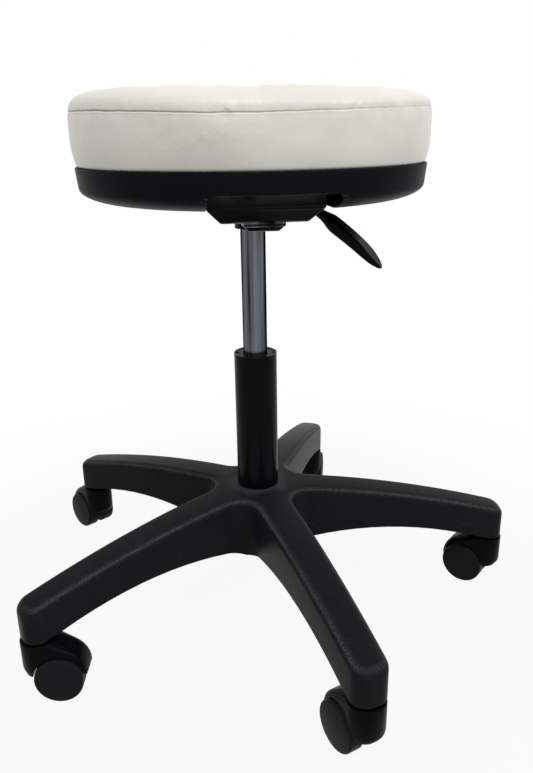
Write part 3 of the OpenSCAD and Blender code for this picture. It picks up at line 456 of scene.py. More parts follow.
def moulded_plastic(name, colour, worn, grain_mm, depth_mm, rough, shine):
    # Nylon, polypropylene, ABS or acetal from a textured mould: near-black, a little green-blue, with a dry
    # satin skin over broad flow marks. Its fine grain breaks up the highlights along the edges, and it is
    # slightly paler where it has been rubbed. Its marked edges get a painted highlight on the tops of the
    # grain.
    # The real grain is 0.3 to 0.5 mm and is drawn coarser so that it shows.
    material, tree, skin, at = surface(name, {"IOR": 1.5, "Specular IOR Level": shine})
    grain = add(tree, "ShaderNodeTexNoise", {"Scale": per_mm(grain_mm), "Detail": 4.0, "Roughness": 0.65},
                {"Vector": at})
    flow = add(tree, "ShaderNodeTexNoise", {"Scale": per_mm(55), "Detail": 2.0}, {"Vector": at})
    skin_height = add(tree, "ShaderNodeMath", {"operation": "MULTIPLY_ADD", 1: 0.35},
                      {0: flow.outputs["Fac"], 2: grain.outputs["Fac"]})
    rubbed = add(tree, "ShaderNodeTexNoise",
                 {"Scale": per_mm(14), "Detail": 6.0, "Roughness": 0.7, "Distortion": 0.8}, {"Vector": at})
    scuffs = add(tree, "ShaderNodeMapRange", {"From Min": 0.58, "From Max": 0.8},
                 {"Value": rubbed.outputs["Fac"]})
    tint = add(tree, "ShaderNodeMix", {"data_type": "RGBA", COLOUR_A: colour, COLOUR_B: worn},
               {FACTOR: scuffs.outputs["Result"]})
    # Painted highlight on the marked edges, on the tops of the grain; on the base's arms it also stands for
    # wear
    tops = add(tree, "ShaderNodeMapRange", {"From Min": 0.42, "From Max": 0.66},
               {"Value": grain.outputs["Fac"]})
    tint = paint_edge_highlight(tree, tint, tops.outputs["Result"], linear("#575D5E"))
    tree.links.new(tint.outputs[COLOUR_OUT], skin.inputs["Base Color"])
    roughen(tree, skin, skin_height.outputs["Value"], rough, strength=1.0, depth_mm=depth_mm)
    return material


def enamelled_steel(colour):
    # Stoved black enamel on steel: smooth, with a slight orange-peel ripple of about 3 mm, dulled in patches.
    material, tree, skin, at = surface("black_enamel", {"IOR": 1.5, "Specular IOR Level": 0.05})
    peel = add(tree, "ShaderNodeTexNoise", {"Scale": per_mm(3), "Detail": 0.0}, {"Vector": at})
    dull = add(tree, "ShaderNodeTexNoise", {"Scale": per_mm(30), "Detail": 4.0}, {"Vector": at})
    tint = add(tree, "ShaderNodeMix", {"data_type": "RGBA", COLOUR_A: colour, COLOUR_B: linear("#0C0E10")},
               {FACTOR: dull.outputs["Fac"]})
    # Painted glints: the marked lower edges are made pale grey in patches
    glint_patches = add(tree, "ShaderNodeMapRange", {"From Min": 0.36, "From Max": 0.56},
               {"Value": dull.outputs["Fac"]})
    tint = paint_edge_highlight(tree, tint, glint_patches.outputs["Result"], linear("#CCD0D2"))
    tree.links.new(tint.outputs[COLOUR_OUT], skin.inputs["Base Color"])
    roughen(tree, skin, peel.outputs["Fac"], rough=(0.2, 0.34), strength=0.03, depth_mm=0.1)
    return material


def drawn_metal(name, dark, light, rough, line_mm, run_mm, edge=(1, 1, 1, 1), shift=0.0):
    # Bare metal drawn or ground along its length: fine lines that stretch the reflections, some bright and
    # some dull. Real lines are under 0.1 mm wide and are drawn coarser so that they show; on the gas lift's
    # tube the broad dark and bright streaks are painted reflections. Where an edge colour is given, the metal
    # is darkened where it turns from view, a painted dark reflection.
    material, tree, skin, at = surface(name, {"Metallic": 1.0, "Specular Tint": edge})
    along = add(tree, "ShaderNodeMapping",
                {"Scale": (per_mm(line_mm), per_mm(line_mm), per_mm(run_mm)), "Location": (shift, 0, 0)},
                {"Vector": at})
    lines = add(tree, "ShaderNodeTexNoise", {"Scale": 1.0, "Detail": 3.0},
                {"Vector": along.outputs["Vector"]})
    streak = add(tree, "ShaderNodeMapRange", {"From Min": 0.36, "From Max": 0.64},
                 {"Value": lines.outputs["Fac"]})
    tint = add(tree, "ShaderNodeMix", {"data_type": "RGBA", COLOUR_A: dark, COLOUR_B: light},
               {FACTOR: streak.outputs["Result"]})
    tree.links.new(tint.outputs[COLOUR_OUT], skin.inputs["Base Color"])
    roughen(tree, skin, lines.outputs["Fac"], rough, strength=0.12, depth_mm=0.05)
    return material


def zinc_plate():
    # Bright zinc plate: a cloudy, crystalline bloom about 4 mm wide over dull silver.
    material, tree, skin, at = surface("zinc_plated_steel", {"Metallic": 1.0})
    bloom = add(tree, "ShaderNodeTexVoronoi", {"Scale": per_mm(4)}, {"Vector": at})
    tint = add(tree, "ShaderNodeMix",
               {"data_type": "RGBA", COLOUR_A: linear("#A9ACAF"), COLOUR_B: linear("#C3C5C4")},
               {FACTOR: bloom.outputs["Distance"]})
    tree.links.new(tint.outputs[COLOUR_OUT], skin.inputs["Base Color"])
    roughen(tree, skin, bloom.outputs["Distance"], rough=(0.3, 0.46), strength=0.05, depth_mm=0.05)
    return material


def soft_black_rubber():
    # Nitrile rubber: matt black with a faint grey bloom in clouds about 6 mm wide.
    material, tree, skin, at = surface("nitrile_rubber", {"IOR": 1.52, "Specular IOR Level": 0.3})
    bloom = add(tree, "ShaderNodeTexNoise", {"Scale": per_mm(6), "Detail": 3.0}, {"Vector": at})
    tint = add(tree, "ShaderNodeMix",
               {"data_type": "RGBA", COLOUR_A: linear("#191A1B"), COLOUR_B: linear("#242526")},
               {FACTOR: bloom.outputs["Fac"]})
    tree.links.new(tint.outputs[COLOUR_OUT], skin.inputs["Base Color"])
    roughen(tree, skin, bloom.outputs["Fac"], rough=(0.62, 0.8), strength=0.06, depth_mm=0.1)
    return material


def birch_plywood():
    # Rotary-cut birch ply: pale flat grain in the face and thin bands of veneer, 1.5 mm each, at the edge.
    material, tree, skin, at = surface("birch_plywood", {"IOR": 1.5, "Specular IOR Level": 0.25})
    along = add(tree, "ShaderNodeMapping", {"Scale": (per_mm(160), per_mm(9), per_mm(1.5))}, {"Vector": at})
    grain = add(tree, "ShaderNodeTexNoise", {"Scale": 1.0, "Detail": 5.0, "Distortion": 0.6},
                {"Vector": along.outputs["Vector"]})
    tint = add(tree, "ShaderNodeMix",
               {"data_type": "RGBA", COLOUR_A: linear("#B98F5C"), COLOUR_B: linear("#D9BC8D")},
               {FACTOR: grain.outputs["Fac"]})
    tree.links.new(tint.outputs[COLOUR_OUT], skin.inputs["Base Color"])
    roughen(tree, skin, grain.outputs["Fac"], rough=(0.55, 0.75), strength=0.1, depth_mm=0.1)
    return material


def open_cell_foam():
    # Polyurethane foam: cream, matt, with open cells about 1.5 mm wide.
    material, tree, skin, at = surface("polyurethane_foam", {"IOR": 1.45, "Specular IOR Level": 0.2})
    cells = add(tree, "ShaderNodeTexVoronoi", {"Scale": per_mm(1.5)}, {"Vector": at})
    tint = add(tree, "ShaderNodeMix",
               {"data_type": "RGBA", COLOUR_A: linear("#C9BD9C"), COLOUR_B: linear("#EBE3CB")},
               {FACTOR: cells.outputs["Distance"]})
    tree.links.new(tint.outputs[COLOUR_OUT], skin.inputs["Base Color"])
    roughen(tree, skin, cells.outputs["Distance"], rough=(0.85, 0.95), strength=0.4, depth_mm=0.5)
    return material


class STOOL_OT_finishes(bpy.types.Operator):
    """Make the stool's finishes and give each carried CAD part its own"""

    bl_idname = "stool.finishes"
    bl_label = "Finishes"

    def execute(self, context):
        colours = context.scene.stool_colours
        scuffed, polished = linear("#262B2C"), linear("#141819")
        FINISHES.update({
            "ivory_vinyl": coated_cloth(colours),
            "base_nylon": moulded_plastic(
                "moulded_nylon_base", colours.nylon, scuffed,
                grain_mm=1.0, depth_mm=0.18, rough=(0.2, 0.34), shine=0.02),
            "caster_nylon": moulded_plastic(
                # The hoods' darker black partly stands as painted shade under the arm tips
                "satin_nylon_hood", colours.hood, polished,
                grain_mm=1.4, depth_mm=0.03, rough=(0.24, 0.36), shine=0.03),
            "wheel_nylon": moulded_plastic(
                "satin_nylon_wheel", colours.nylon, polished,
                grain_mm=1.6, depth_mm=0.03, rough=(0.3, 0.44), shine=0.03),
            "pan_plastic": moulded_plastic(
                "moulded_polypropylene", colours.pan, polished,
                grain_mm=1.3, depth_mm=0.04, rough=(0.3, 0.44), shine=0.02),
            "lever_plastic": moulded_plastic(
                "polished_abs", colours.hood, polished,
                grain_mm=1.8, depth_mm=0.012, rough=(0.18, 0.28), shine=0.04),
            "grey_acetal": moulded_plastic(
                "moulded_acetal", linear("#141617"), scuffed,
                grain_mm=1.2, depth_mm=0.02, rough=(0.35, 0.5), shine=0.12),
            "black_enamel": enamelled_steel(colours.enamel),
            # The tube's dark and bright streaks, and its darkening where it turns from view, are painted
            # reflections
            "polished_steel": drawn_metal(
                "polished_steel", linear("#24211E"), linear("#6A6E71"),
                rough=(0.16, 0.3), line_mm=9, run_mm=500, edge=linear("#5A5A58"), shift=2.7),
            "bearing_steel": drawn_metal(
                "ground_bearing_steel", linear("#8F9193"), linear("#B9BBBD"),
                rough=(0.14, 0.26), line_mm=0.6, run_mm=6),
            "light_alloy": drawn_metal(
                "machined_aluminium", linear("#A9ABAD"), linear("#C9CBCD"),
                rough=(0.3, 0.45), line_mm=0.8, run_mm=8),
            "cage_brass": drawn_metal(
                "pressed_brass", linear("#A9853C"), linear("#C9A24E"),
                rough=(0.28, 0.42), line_mm=1.2, run_mm=10),
            "plated_steel": zinc_plate(),
            "black_rubber": soft_black_rubber(),
            "plywood": birch_plywood(),
            "foam": open_cell_foam(),
        })
        for node, obj in frame["nodes"].items():
            obj.data.materials.clear()
            obj.data.materials.append(FINISHES[SLOT_OF[node]])
        return {"FINISHED"}


# Seat


def round_mould(size):
    """The cushion before it is filled: a low drum with a rounded shoulder and a drawn-in foot."""
    top = CROWN_Z - size.swell
    # The side needs room for part of the swell only
    radius = CUSHION_R - 0.6 * size.swell
    near = 1e-4
    clear_selection()
    bpy.ops.mesh.primitive_cylinder_add(
        vertices=160, radius=radius, depth=top - FOOT_Z, location=(0, 0, (top + FOOT_Z) / 2))
    obj = bpy.context.object
    bpy.ops.object.transform_apply(location=True, rotation=True, scale=True)
    open_and_pick(obj, "EDGE", lambda e: all(v.co.z > top - near for v in e.verts))
    bpy.ops.mesh.bevel(offset=0.014, segments=8, profile=0.5, affect="EDGES")
    open_and_pick(obj, "EDGE", lambda e: all(v.co.z < FOOT_Z + near for v in e.verts))
    bpy.ops.mesh.bevel(offset=0.004, segments=3, profile=0.5, affect="EDGES")
    bpy.ops.object.mode_set(mode="OBJECT")
    obj.data.remesh_voxel_size = size.weave
    bpy.ops.object.voxel_remesh()
    return obj


def fill_with_foam(obj, size):
    """Blows the cover up by cloth pressure, held at its foot, and stops each point at the swell."""
    held_below = PAN_TOP + 0.004
    last_step = 20
    start = coordinates(obj)
    held = obj.vertex_groups.new(name="held")
    held.add([int(i) for i in np.flatnonzero(start[:, 2] < held_below)], 1.0, "REPLACE")
    hold(obj)
    bpy.ops.object.modifier_add(type="CLOTH")
    cloth = obj.modifiers[-1]
    cloth.settings.quality = 6
    cloth.settings.use_pressure = True
    cloth.settings.uniform_pressure_force = 4.0
    cloth.settings.effector_weights.gravity = 0.0
    cloth.settings.vertex_group_mass = held.name
    cloth.point_cache.frame_start = 1
    cloth.point_cache.frame_end = last_step
    for step in range(1, last_step + 1):
        bpy.context.scene.frame_set(step)
    bpy.ops.object.modifier_apply(modifier=cloth.name)
    moved = coordinates(obj) - start
    far = np.linalg.norm(moved, axis=1)
    share = np.minimum(far, size.swell) / np.maximum(far, 1e-9)
    put_back(obj, start + moved * share[:, None])
    bpy.context.scene.frame_set(1)
    obj.vertex_groups.clear()
    finish_modifier(obj, "SMOOTH", factor=0.5, iterations=6)
    finish_modifier(obj, "SUBSURF", levels=1, render_levels=1)


def beside_seam(length):
    """Distances along the cloth from the seam: close beside it and wider further off."""
    finest, widest, growth = 0.00035, 0.0022, 1.16
    places = [0.0]
    step = finest
    while places[-1] + 1.5 * step < length:
        places.append(places[-1] + step)
        step = min(growth * step, widest)
    return np.array(places + [length])


def cover_outline(size):
    """The cover's outline from the middle of its underside to the middle of its crown: radius, height and
    the distance along the cloth from the seam, which is below zero under the seam."""
    rim = PAN_TOP
    # The underside is flat above the tee nuts, and turns up and out over the pan's rim
    under = [(0.0, FOOT_Z), (0.06, FOOT_Z), (0.11, FOOT_Z), (0.15, FOOT_Z), (0.17, FOOT_Z), (0.177, FOOT_Z),
             (0.1796, FOOT_Z + 0.0008), (0.1806, FOOT_Z + 0.0022), (0.181, rim + 0.0002),
             (0.1818, rim + 0.0005), (0.1826, rim + 0.0011), (0.1831, rim + 0.0021)]
    under_r, under_z = np.array(under).T
    under_d = np.full(len(under), -0.06)
    # The side bellies out, is widest below the seam and draws in towards the rim
    widest_z, lowest_z, reach = rim + 0.038, rim + 0.0035, 0.035
    down = beside_seam(SEAM_Z - lowest_z)[::-1]
    belly = (SEAM_Z - down - widest_z) / reach
    side_r = CUSHION_R - np.where(belly < 0, 0.0036 * np.abs(belly) ** 3, 0.0041 * belly ** 2)
    # The crown is a rounded shoulder and a low dome, drawn finely first and then read off at each distance
    fine, shoulder_cloth, middle_rings = 2000, 0.06, 20
    turn = np.linspace(0, math.pi / 2, fine)
    flat_r = SEAM_R - size.shoulder
    flat = np.linspace(flat_r, 0, fine)[1:]
    rise = CROWN_Z + size.crown_rise - size.dome - SEAM_Z
    dome = rise + size.dome * (1 - (flat / flat_r) ** 2) ** 2
    crown_r = np.concatenate([flat_r + size.shoulder * np.cos(turn), flat])
    crown_z = SEAM_Z + np.concatenate([rise * np.sin(turn), dome])
    along = np.concatenate([[0.0], np.cumsum(np.hypot(np.diff(crown_r), np.diff(crown_z)))])
    middle = np.linspace(shoulder_cloth, along[-1], middle_rings)
    up = np.concatenate([beside_seam(shoulder_cloth)[1:], middle[1:]])
    r = np.concatenate([under_r, side_r, np.interp(up, along, crown_r)])
    z = np.concatenate([under_z, SEAM_Z - down, np.interp(up, along, crown_z)])
    d = np.concatenate([under_d, -down, up])
    return r, z, d


def spin_cover(r, z):
    """Draws the outline one point after another and spins it to a closed cover."""
    clear_selection()
    bpy.ops.mesh.primitive_plane_add(size=0.001)
    obj = bpy.context.object
    obj.name = "padded_seat"
    bpy.ops.object.mode_set(mode="EDIT")
    bpy.ops.mesh.select_mode(type="VERT")
    bpy.ops.mesh.select_all(action="SELECT")
    bpy.ops.mesh.merge(type="CENTER")
    bpy.ops.transform.translate(value=(r[0], 0, z[0]))
    for dr, dz in zip(np.diff(r), np.diff(z)):
        bpy.ops.mesh.extrude_vertices_move(TRANSFORM_OT_translate={"value": (dr, 0, dz)})
    bpy.ops.mesh.select_all(action="SELECT")
    bpy.ops.mesh.spin(steps=512, angle=2 * math.pi, center=(0, 0, 0), axis=(0, 0, 1))
    bpy.ops.mesh.select_all(action="SELECT")
    bpy.ops.mesh.remove_doubles(threshold=2e-5)
    bpy.ops.mesh.normals_make_consistent(inside=False)
    bpy.ops.object.mode_set(mode="OBJECT")
    return obj


def uneven(core, obj, ring, azimuth):
    """How far the filled cushion strays from an even one, outward and upward, at each point of the cover."""
    rest = coordinates(obj)
    finish_modifier(obj, "SHRINKWRAP", target=core, wrap_method="NEAREST_SURFACEPOINT")
    moved = coordinates(obj) - rest
    put_back(obj, rest)
    outward = moved[:, 0] * np.cos(azimuth) + moved[:, 1] * np.sin(azimuth)
    count = np.maximum(np.bincount(ring), 1)
    return [part - (np.bincount(ring, part) / count)[ring] for part in (outward, moved[:, 2])]


def seam_wave(azimuth, height):
    """The seam's slow rise and fall: two waves in a turn, with three lower ones across them."""
    two = np.cos(2 * azimuth - math.radians(7))
    three = np.cos(3 * azimuth + math.radians(80))
    return height * (two + 0.65 * three)


# The cloth's relief, in millimetres: d runs along the cloth from the seam, below zero under it, and lap runs
# round the cushion from the pleat, below zero at its left


def seam_pull(size, d, gape, gathers):
    """How the seam shapes the cloth: a groove in a shallow hollow, a rolled lip below it and gathers."""
    groove = -MM_PER_METRE * size.seam_depth * gape * bump_at(d, 0.0, 0.5)
    hollow = -0.5 * bump_at(d, 0.5, 4.5)
    lip = 0.32 * gape * bump_at(d, -1.5, 0.8)
    beside = bump_at(d, 4.0, 6.0) + 0.6 * bump_at(d, -3.0, 4.0)
    return groove + hollow + lip + MM_PER_METRE * size.pucker * gathers * beside


def pleat_pull(d, lap):
    """One small pleat that runs down to the seam: a fold with a nick beside it."""
    across = lap + 0.75 * (d - 0.5)
    fold = 0.9 * bump_at(across, 1.5, 1.3) - 0.8 * bump_at(across, -0.2, 0.7)
    return fold * bump_at(d, 2.8, 2.6) * (d > 0)


def crease_pull(size, d, lap, crimp):
    """Creases that slant across the front-left of the side and fade all round, and the side's slow waves."""
    slant = 0.78 * lap + 0.62 * d
    where = bump_at(lap, -38, 46) * bump_at(d, -22, 13)
    creases = np.sin(slant / 2.4 + 5.0 * crimp) * (0.4 + crimp)
    return MM_PER_METRE * size.crease * creases * where + 0.25 * crimp * bump_at(d, -25, 16)


def sew(obj, core, size, outline):
    """Gives the even cover its seam, pleat and creases, and a share of the filled core's unevenness."""
    line_r, line_z, line_d = outline
    co = coordinates(obj)
    r = np.hypot(co[:, 0], co[:, 1])
    z = co[:, 2]
    azimuth = np.arctan2(co[:, 1], co[:, 0])
    ring = np.argmin(np.hypot(r[:, None] - line_r, z[:, None] - line_z), axis=1)
    out = lift = np.zeros(len(r))
    if core:
        out, lift = uneven(core, obj, ring, azimuth)
    d = MM_PER_METRE * line_d[ring]
    # The pleat stands a little left of the front
    pleat_at = math.radians(-94.7)
    lap = MM_PER_METRE * CUSHION_R * ((azimuth - pleat_at + math.pi) % (2 * math.pi) - math.pi)
    # Gathers are about 7 mm wide and 14 mm long, and slow waves about 34 by 22 mm
    gathers = np.array([noise.noise(Vector((a, b, 3.0))) for a, b in zip(lap / 7.0, d / 14.0)])
    crimp = np.array([noise.fractal(Vector((a, b, 9.0)), 1.0, 2.0, 3) for a, b in zip(lap / 34.0, d / 22.0)])
    # The seam gapes at the left and lies almost closed at the right; where it gapes its groove is deeper and
    # its painted shade darker
    gape = np.clip(0.62 - 0.62 * np.cos(azimuth), 0.15, 1.0)
    pull = seam_pull(size, d, gape, gathers) + pleat_pull(d, lap) + crease_pull(size, d, lap, crimp)
    # The underside, which counts as 60 mm below the seam, and the middle of the crown stay even
    pull *= (d > -59) * (d < 40) / MM_PER_METRE
    # The cloth is held at the pan's rim and comes free within 12 mm above it
    free = np.clip((z - PAN_TOP - 0.001) / 0.012, 0, 1)
    free = free * free * (3 - 2 * free)
    r = r + free * (pull + size.slack * out)
    crown = np.clip((z - SEAM_Z) / (CROWN_Z - SEAM_Z), 0, 1)
    lean = -size.lean * crown * r * np.cos(azimuth) / CUSHION_R
    wave = seam_wave(azimuth, size.seam_wave) * bump_at(d, 0.0, 22.0)
    z = z + free * (size.slack * lift + lean + wave)
    put_back(obj, np.stack([r * np.cos(azimuth), r * np.sin(azimuth), z], axis=1))
    loose_side = 1.5 * bump_at(lap, -35, 48) * bump_at(d, -22, 14)
    loose_shoulder = 0.9 * bump_at(d, 9, 9)
    mark(obj, "slack", 0.2 + loose_side + loose_shoulder)
    # Painted shade along the seam, darkest where it gapes
    mark(obj, "seam_shade", bump_at(d, 0.0, 0.5) * (0.8 + 0.4 * gathers) * gape)


class STOOL_OT_padded_seat(bpy.types.Operator):
    """Pad the seat: coated cloth filled with foam, with one sewn seam round its edge"""

    bl_idname = "stool.padded_seat"
    bl_label = "Padded seat"

    def execute(self, context):
        size = context.scene.stool_seat
        core = None
        core = round_mould(size)
        fill_with_foam(core, size)
        outline = cover_outline(size)
        obj = spin_cover(*outline[:2])
        sew(obj, core, size, outline)
        if core:
            bpy.data.objects.remove(core)
        smooth(obj, 180)
        settle(obj, "seat", "ivory_vinyl", "cover_top", "cover_band", "seat_foam")
        return {"FINISHED"}


class STOOL_OT_seat_plate(bpy.types.Operator):
    """Soften the pressed seat plate's edges, so that its paint catches the light, and mark its lower edges
    for painted glints
    """

    bl_idname = "stool.seat_plate"
    bl_label = "Seat plate"

    def execute(self, context):
        edge_r = 0.001
        obj = merged_copy("mount_plate", "pressed_seat_plate")
        soften(obj, edge_r)
        # The lower edges are marked for a painted glint
        mark_edges(obj, edge_r, slope=-0.75, spread=0.35)
        smooth(obj, 35)
        settle(obj, "seat", "black_enamel", "mount_plate")
        return {"FINISHED"}


class STOOL_OT_seat_pan(bpy.types.Operator):
    """Round the moulded pan's edges, so that they catch the light, and mark its lower edges for painted
    glints
    """

    bl_idname = "stool.seat_pan"
    bl_label = "Seat pan"

    def execute(self, context):
        edge_r = 0.0008
        obj = merged_copy("seat_pan", "moulded_seat_pan")
        soften(obj, edge_r)
        # The lower edges are marked for a painted glint
        mark_edges(obj, edge_r, slope=-0.75, spread=0.35)
        smooth(obj, 30)
        settle(obj, "seat", "pan_plastic", "seat_pan")
        return {"FINISHED"}


class STOOL_OT_release_lever(bpy.types.Operator):
    """Smooth the release lever's moulded paddle"""

    bl_idname = "stool.release_lever"
    bl_label = "Release lever"

    def execute(self, context):
        obj = merged_copy("lever_paddle", "release_paddle")
        smooth(obj, 50)
        settle(obj, "lever", "lever_plastic", "lever_paddle")
        return {"FINISHED"}


class STOOL_OT_pan_screws(bpy.types.Operator):
    """Model one cross-head screw and set a copy in each of the pan's holes"""

    bl_idname = "stool.pan_screws"
    bl_label = "Pan screws"

    def execute(self, context):
        low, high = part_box("pan_screws")
        head_r, head_h, head_rounding, shank_r = 0.004, 0.0026, 0.0013, 0.002
        slit = (0.0011, 0.0046, 0.003)
        clear_selection()
        bpy.ops.mesh.primitive_cylinder_add(
            vertices=32, radius=head_r, depth=head_h, location=(0, 0, head_h / 2))
        screw = context.object
        bpy.ops.object.transform_apply(location=True, rotation=True, scale=True)
        open_and_pick(screw, "EDGE", lambda e: all(v.co.z < MERGE for v in e.verts))
        bpy.ops.mesh.bevel(offset=head_rounding, segments=4, affect="EDGES")
        open_and_pick(screw, "FACE", lambda f: f.normal.z > 0.9)
        bpy.ops.mesh.inset(thickness=head_r - shank_r, depth=0)
        bpy.ops.mesh.extrude_region_move(
            TRANSFORM_OT_translate={"value": (0, 0, high.z - low.z - head_h)})
        bpy.ops.object.mode_set(mode="OBJECT")
        for turn in (0.0, math.pi / 2):
            clear_selection()
            bpy.ops.mesh.primitive_cube_add(size=1, location=(0, 0, 0), rotation=(0, 0, turn), scale=slit)
            cutter = context.object
            finish_modifier(screw, "BOOLEAN", object=cutter, operation="DIFFERENCE")
            bpy.data.objects.remove(cutter)
        smooth(screw, 35)
        for number, foot in enumerate(island_feet("pan_screws"), 1):
            copy = bpy.data.objects.new(f"pan_screw_{number}", screw.data.copy())
            context.scene.collection.objects.link(copy)
            # Each screw came to rest at a turn of its own
            copy.data.transform(Matrix.Translation(foot) @ Matrix.Rotation(0.7 * number, 4, "Z"))
            settle(copy, "seat", "plated_steel", *(["pan_screws"] if number == 1 else []))
        bpy.data.objects.remove(screw)
        return {"FINISHED"}


# Base and casters


class STOOL_OT_star_base(bpy.types.Operator):
    """Smooth the moulded five-arm base and mark the up-facing edges of its arms for a painted highlight,
    partly standing for wear
    """

    bl_idname = "stool.star_base"
    bl_label = "Star base"

    def execute(self, context):
        obj = merged_copy("star_base", "moulded_star_base")
        # The up-facing edges are marked for a painted highlight, partly standing for wear
        mark_edges(obj, 0.009, slope=0.72, spread=0.16)
        smooth(obj, 40)
        settle(obj, "base", "base_nylon", "star_base")
        return {"FINISHED"}


class STOOL_OT_caster_hoods(bpy.types.Operator):
    """Smooth the five caster hoods"""

    bl_idname = "stool.caster_hoods"
    bl_label = "Caster hoods"

    def execute(self, context):
        for number in range(1, 6):
            obj = merged_copy(f"caster_hood_{number}", f"moulded_hood_{number}")
            smooth(obj, 38)
            settle(obj, f"caster_{number}", "caster_nylon", f"caster_hood_{number}")
        return {"FINISHED"}


# Studio


def seen(tree):
    """One for what is seen straight, mirrored or through glass, and nought for what only lights the stool."""
    rays = add(tree, "ShaderNodeLightPath")
    straight_or_mirrored = add(tree, "ShaderNodeMath", {"operation": "MAXIMUM"},
                               {0: rays.outputs["Is Camera Ray"], 1: rays.outputs["Is Glossy Ray"]})
    either = add(tree, "ShaderNodeMath", {"operation": "MAXIMUM"},
                 {0: straight_or_mirrored.outputs["Value"], 1: rays.outputs["Is Transmission Ray"]})
    return either.outputs["Value"]


def floor_paint(studio):
    """Pale matt paint that keeps a soft shadow near the stool and runs out to plain white further off."""
    material = bpy.data.materials.new("pale_floor_paint")
    tree = empty_tree(material)
    paint = add(tree, "ShaderNodeBsdfDiffuse", {"Color": studio.floor_colour})
    white = add(tree, "ShaderNodeEmission", {"Color": (1, 1, 1, 1), "Strength": 1.0})
    at = add(tree, "ShaderNodeTexCoord").outputs["Object"]
    distance = add(tree, "ShaderNodeVectorMath", {"operation": "LENGTH"}, {0: at})
    fade = add(tree, "ShaderNodeMapRange",
               {"interpolation_type": "SMOOTHSTEP", "From Min": studio.floor_near,
                "From Max": studio.floor_far, "To Min": studio.floor_white},
               {"Value": distance.outputs["Value"]})
    share = add(tree, "ShaderNodeMath", {"operation": "MULTIPLY"}, {0: seen(tree), 1: fade.outputs["Result"]})
    mixed = add(tree, "ShaderNodeMixShader", None,
                {0: share.outputs["Value"], 1: paint.outputs["BSDF"], 2: white.outputs["Emission"]})
    add(tree, "ShaderNodeOutputMaterial", links={"Surface": mixed.outputs["Shader"]})
    return material


def lay_floor(studio):
    """A wide round floor just under the wheels, with a smaller face in its middle."""
    clear_selection()
    bpy.ops.mesh.primitive_circle_add(
        vertices=96, radius=studio.floor_radius, fill_type="NGON", location=(0, 0, -0.0002))
    floor = bpy.context.object
    floor.name = "studio_floor"
    bpy.ops.object.transform_apply(location=True)
    open_and_pick(floor, "FACE", lambda f: True)
    bpy.ops.mesh.inset(thickness=studio.floor_radius * 0.8, depth=0)
    clear_selection()
    floor.data.materials.append(floor_paint(studio))


def white_room(level):
    """Even room light, and plain white wherever the camera or a reflection looks past the floor."""
    world = bpy.data.worlds.new("white_room")
    tree = empty_tree(world)
    strength = add(tree, "ShaderNodeMapRange", {"To Min": level, "To Max": 1.0}, {"Value": seen(tree)})
    light = add(tree, "ShaderNodeBackground", {"Color": (1, 1, 1, 1)},
                {"Strength": strength.outputs["Result"]})
    add(tree, "ShaderNodeOutputWorld", links={"Surface": light.outputs["Background"]})
    return world


def hang_lamp(name, place, aim, size, power):
    """A square soft lamp at a place, turned to what it lights."""
    clear_selection()
    bpy.ops.object.light_add(type="AREA", location=place)
    lamp = bpy.context.object
    lamp.name = name
    lamp.data.size = size
    lamp.data.energy = power
    lamp.rotation_euler = (Vector(aim) - Vector(place)).to_track_quat("-Z", "Y").to_euler()


def stand_camera(studio):
    """A camera at its place, pitched down and leaning, with its focal length counted in pixels."""
    clear_selection()
    bpy.ops.object.camera_add(location=studio.camera_place)
    camera = bpy.context.object
    camera.name = "photo_camera"
    pitch, roll = studio.camera_pitch, studio.camera_roll
    ahead = Vector((0, math.cos(pitch), -math.sin(pitch)))
    level = Vector((1, 0, 0))
    above = Vector((0, math.sin(pitch), math.cos(pitch)))
    right = math.cos(roll) * level + math.sin(roll) * above
    up = math.cos(roll) * above - math.sin(roll) * level
    axes = Matrix((right, up, -ahead)).transposed()
    camera.matrix_world = Matrix.Translation(studio.camera_place) @ axes.to_4x4()
    camera.data.sensor_fit = "VERTICAL"
    camera.data.sensor_height = 36.0
    camera.data.lens = studio.focal / studio.frame_height * camera.data.sensor_height
    camera.data.clip_start = 0.02
    return camera


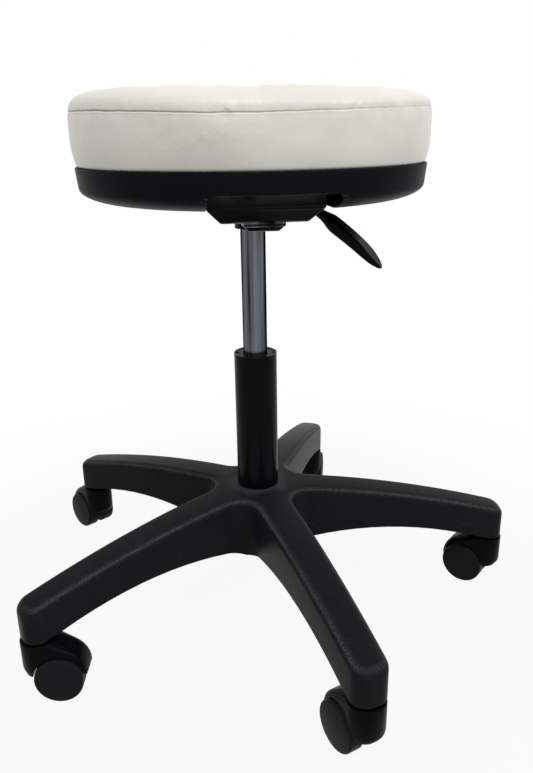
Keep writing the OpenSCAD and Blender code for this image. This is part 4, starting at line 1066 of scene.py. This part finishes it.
class STOOL_OT_studio(bpy.types.Operator):
    """Set the stool on a pale floor in soft light, before a camera"""

    bl_idname = "stool.studio"
    bl_label = "Studio"

    def execute(self, context):
        studio = context.scene.stool_studio
        lay_floor(studio)
        context.scene.world = white_room(studio.sky_level)
        hang_lamp("overhead_lamp", studio.top_place, studio.lamp_aim, studio.top_size, studio.top_power)
        hang_lamp("side_lamp", studio.side_place, studio.lamp_aim, studio.side_size, studio.side_power)
        context.scene.camera = stand_camera(studio)
        context.scene.view_settings.view_transform = "Standard"
        return {"FINISHED"}


STEPS = (
    STOOL_OT_finishes,
    STOOL_OT_padded_seat,
    STOOL_OT_seat_plate,
    STOOL_OT_seat_pan,
    STOOL_OT_release_lever,
    STOOL_OT_pan_screws,
    STOOL_OT_star_base,
    STOOL_OT_caster_hoods,
    STOOL_OT_studio,
)


class STOOL_PT_panel(bpy.types.Panel):
    """Steps and sizes of the stool"""

    bl_idname = "STOOL_PT_panel"
    bl_label = "Work stool"
    bl_space_type = "VIEW_3D"
    bl_region_type = "UI"
    bl_category = "Stool"

    def draw(self, context):
        for step in STEPS:
            self.layout.operator(step.bl_idname)
        for group in (context.scene.stool_seat, context.scene.stool_colours, context.scene.stool_studio):
            box = self.layout.box()
            for name in group.bl_rna.properties.keys():
                if name not in {"rna_type", "name"}:
                    box.prop(group, name)


CLASSES = (StoolSeat, StoolColours, StoolStudio, *STEPS, STOOL_PT_panel)


def register():
    for cls in CLASSES:
        bpy.utils.register_class(cls)
    bpy.types.Scene.stool_seat = PointerProperty(type=StoolSeat)
    bpy.types.Scene.stool_colours = PointerProperty(type=StoolColours)
    bpy.types.Scene.stool_studio = PointerProperty(type=StoolStudio)


def unregister():
    del bpy.types.Scene.stool_studio
    del bpy.types.Scene.stool_colours
    del bpy.types.Scene.stool_seat
    for cls in reversed(CLASSES):
        bpy.utils.unregister_class(cls)


def main():
    register()
    bpy.ops.stool.finishes()
    bpy.ops.stool.padded_seat()
    bpy.ops.stool.seat_plate()
    bpy.ops.stool.seat_pan()
    bpy.ops.stool.release_lever()
    bpy.ops.stool.pan_screws()
    bpy.ops.stool.star_base()
    bpy.ops.stool.caster_hoods()
    bpy.ops.stool.studio()


if __name__ == "__main__":
    main()
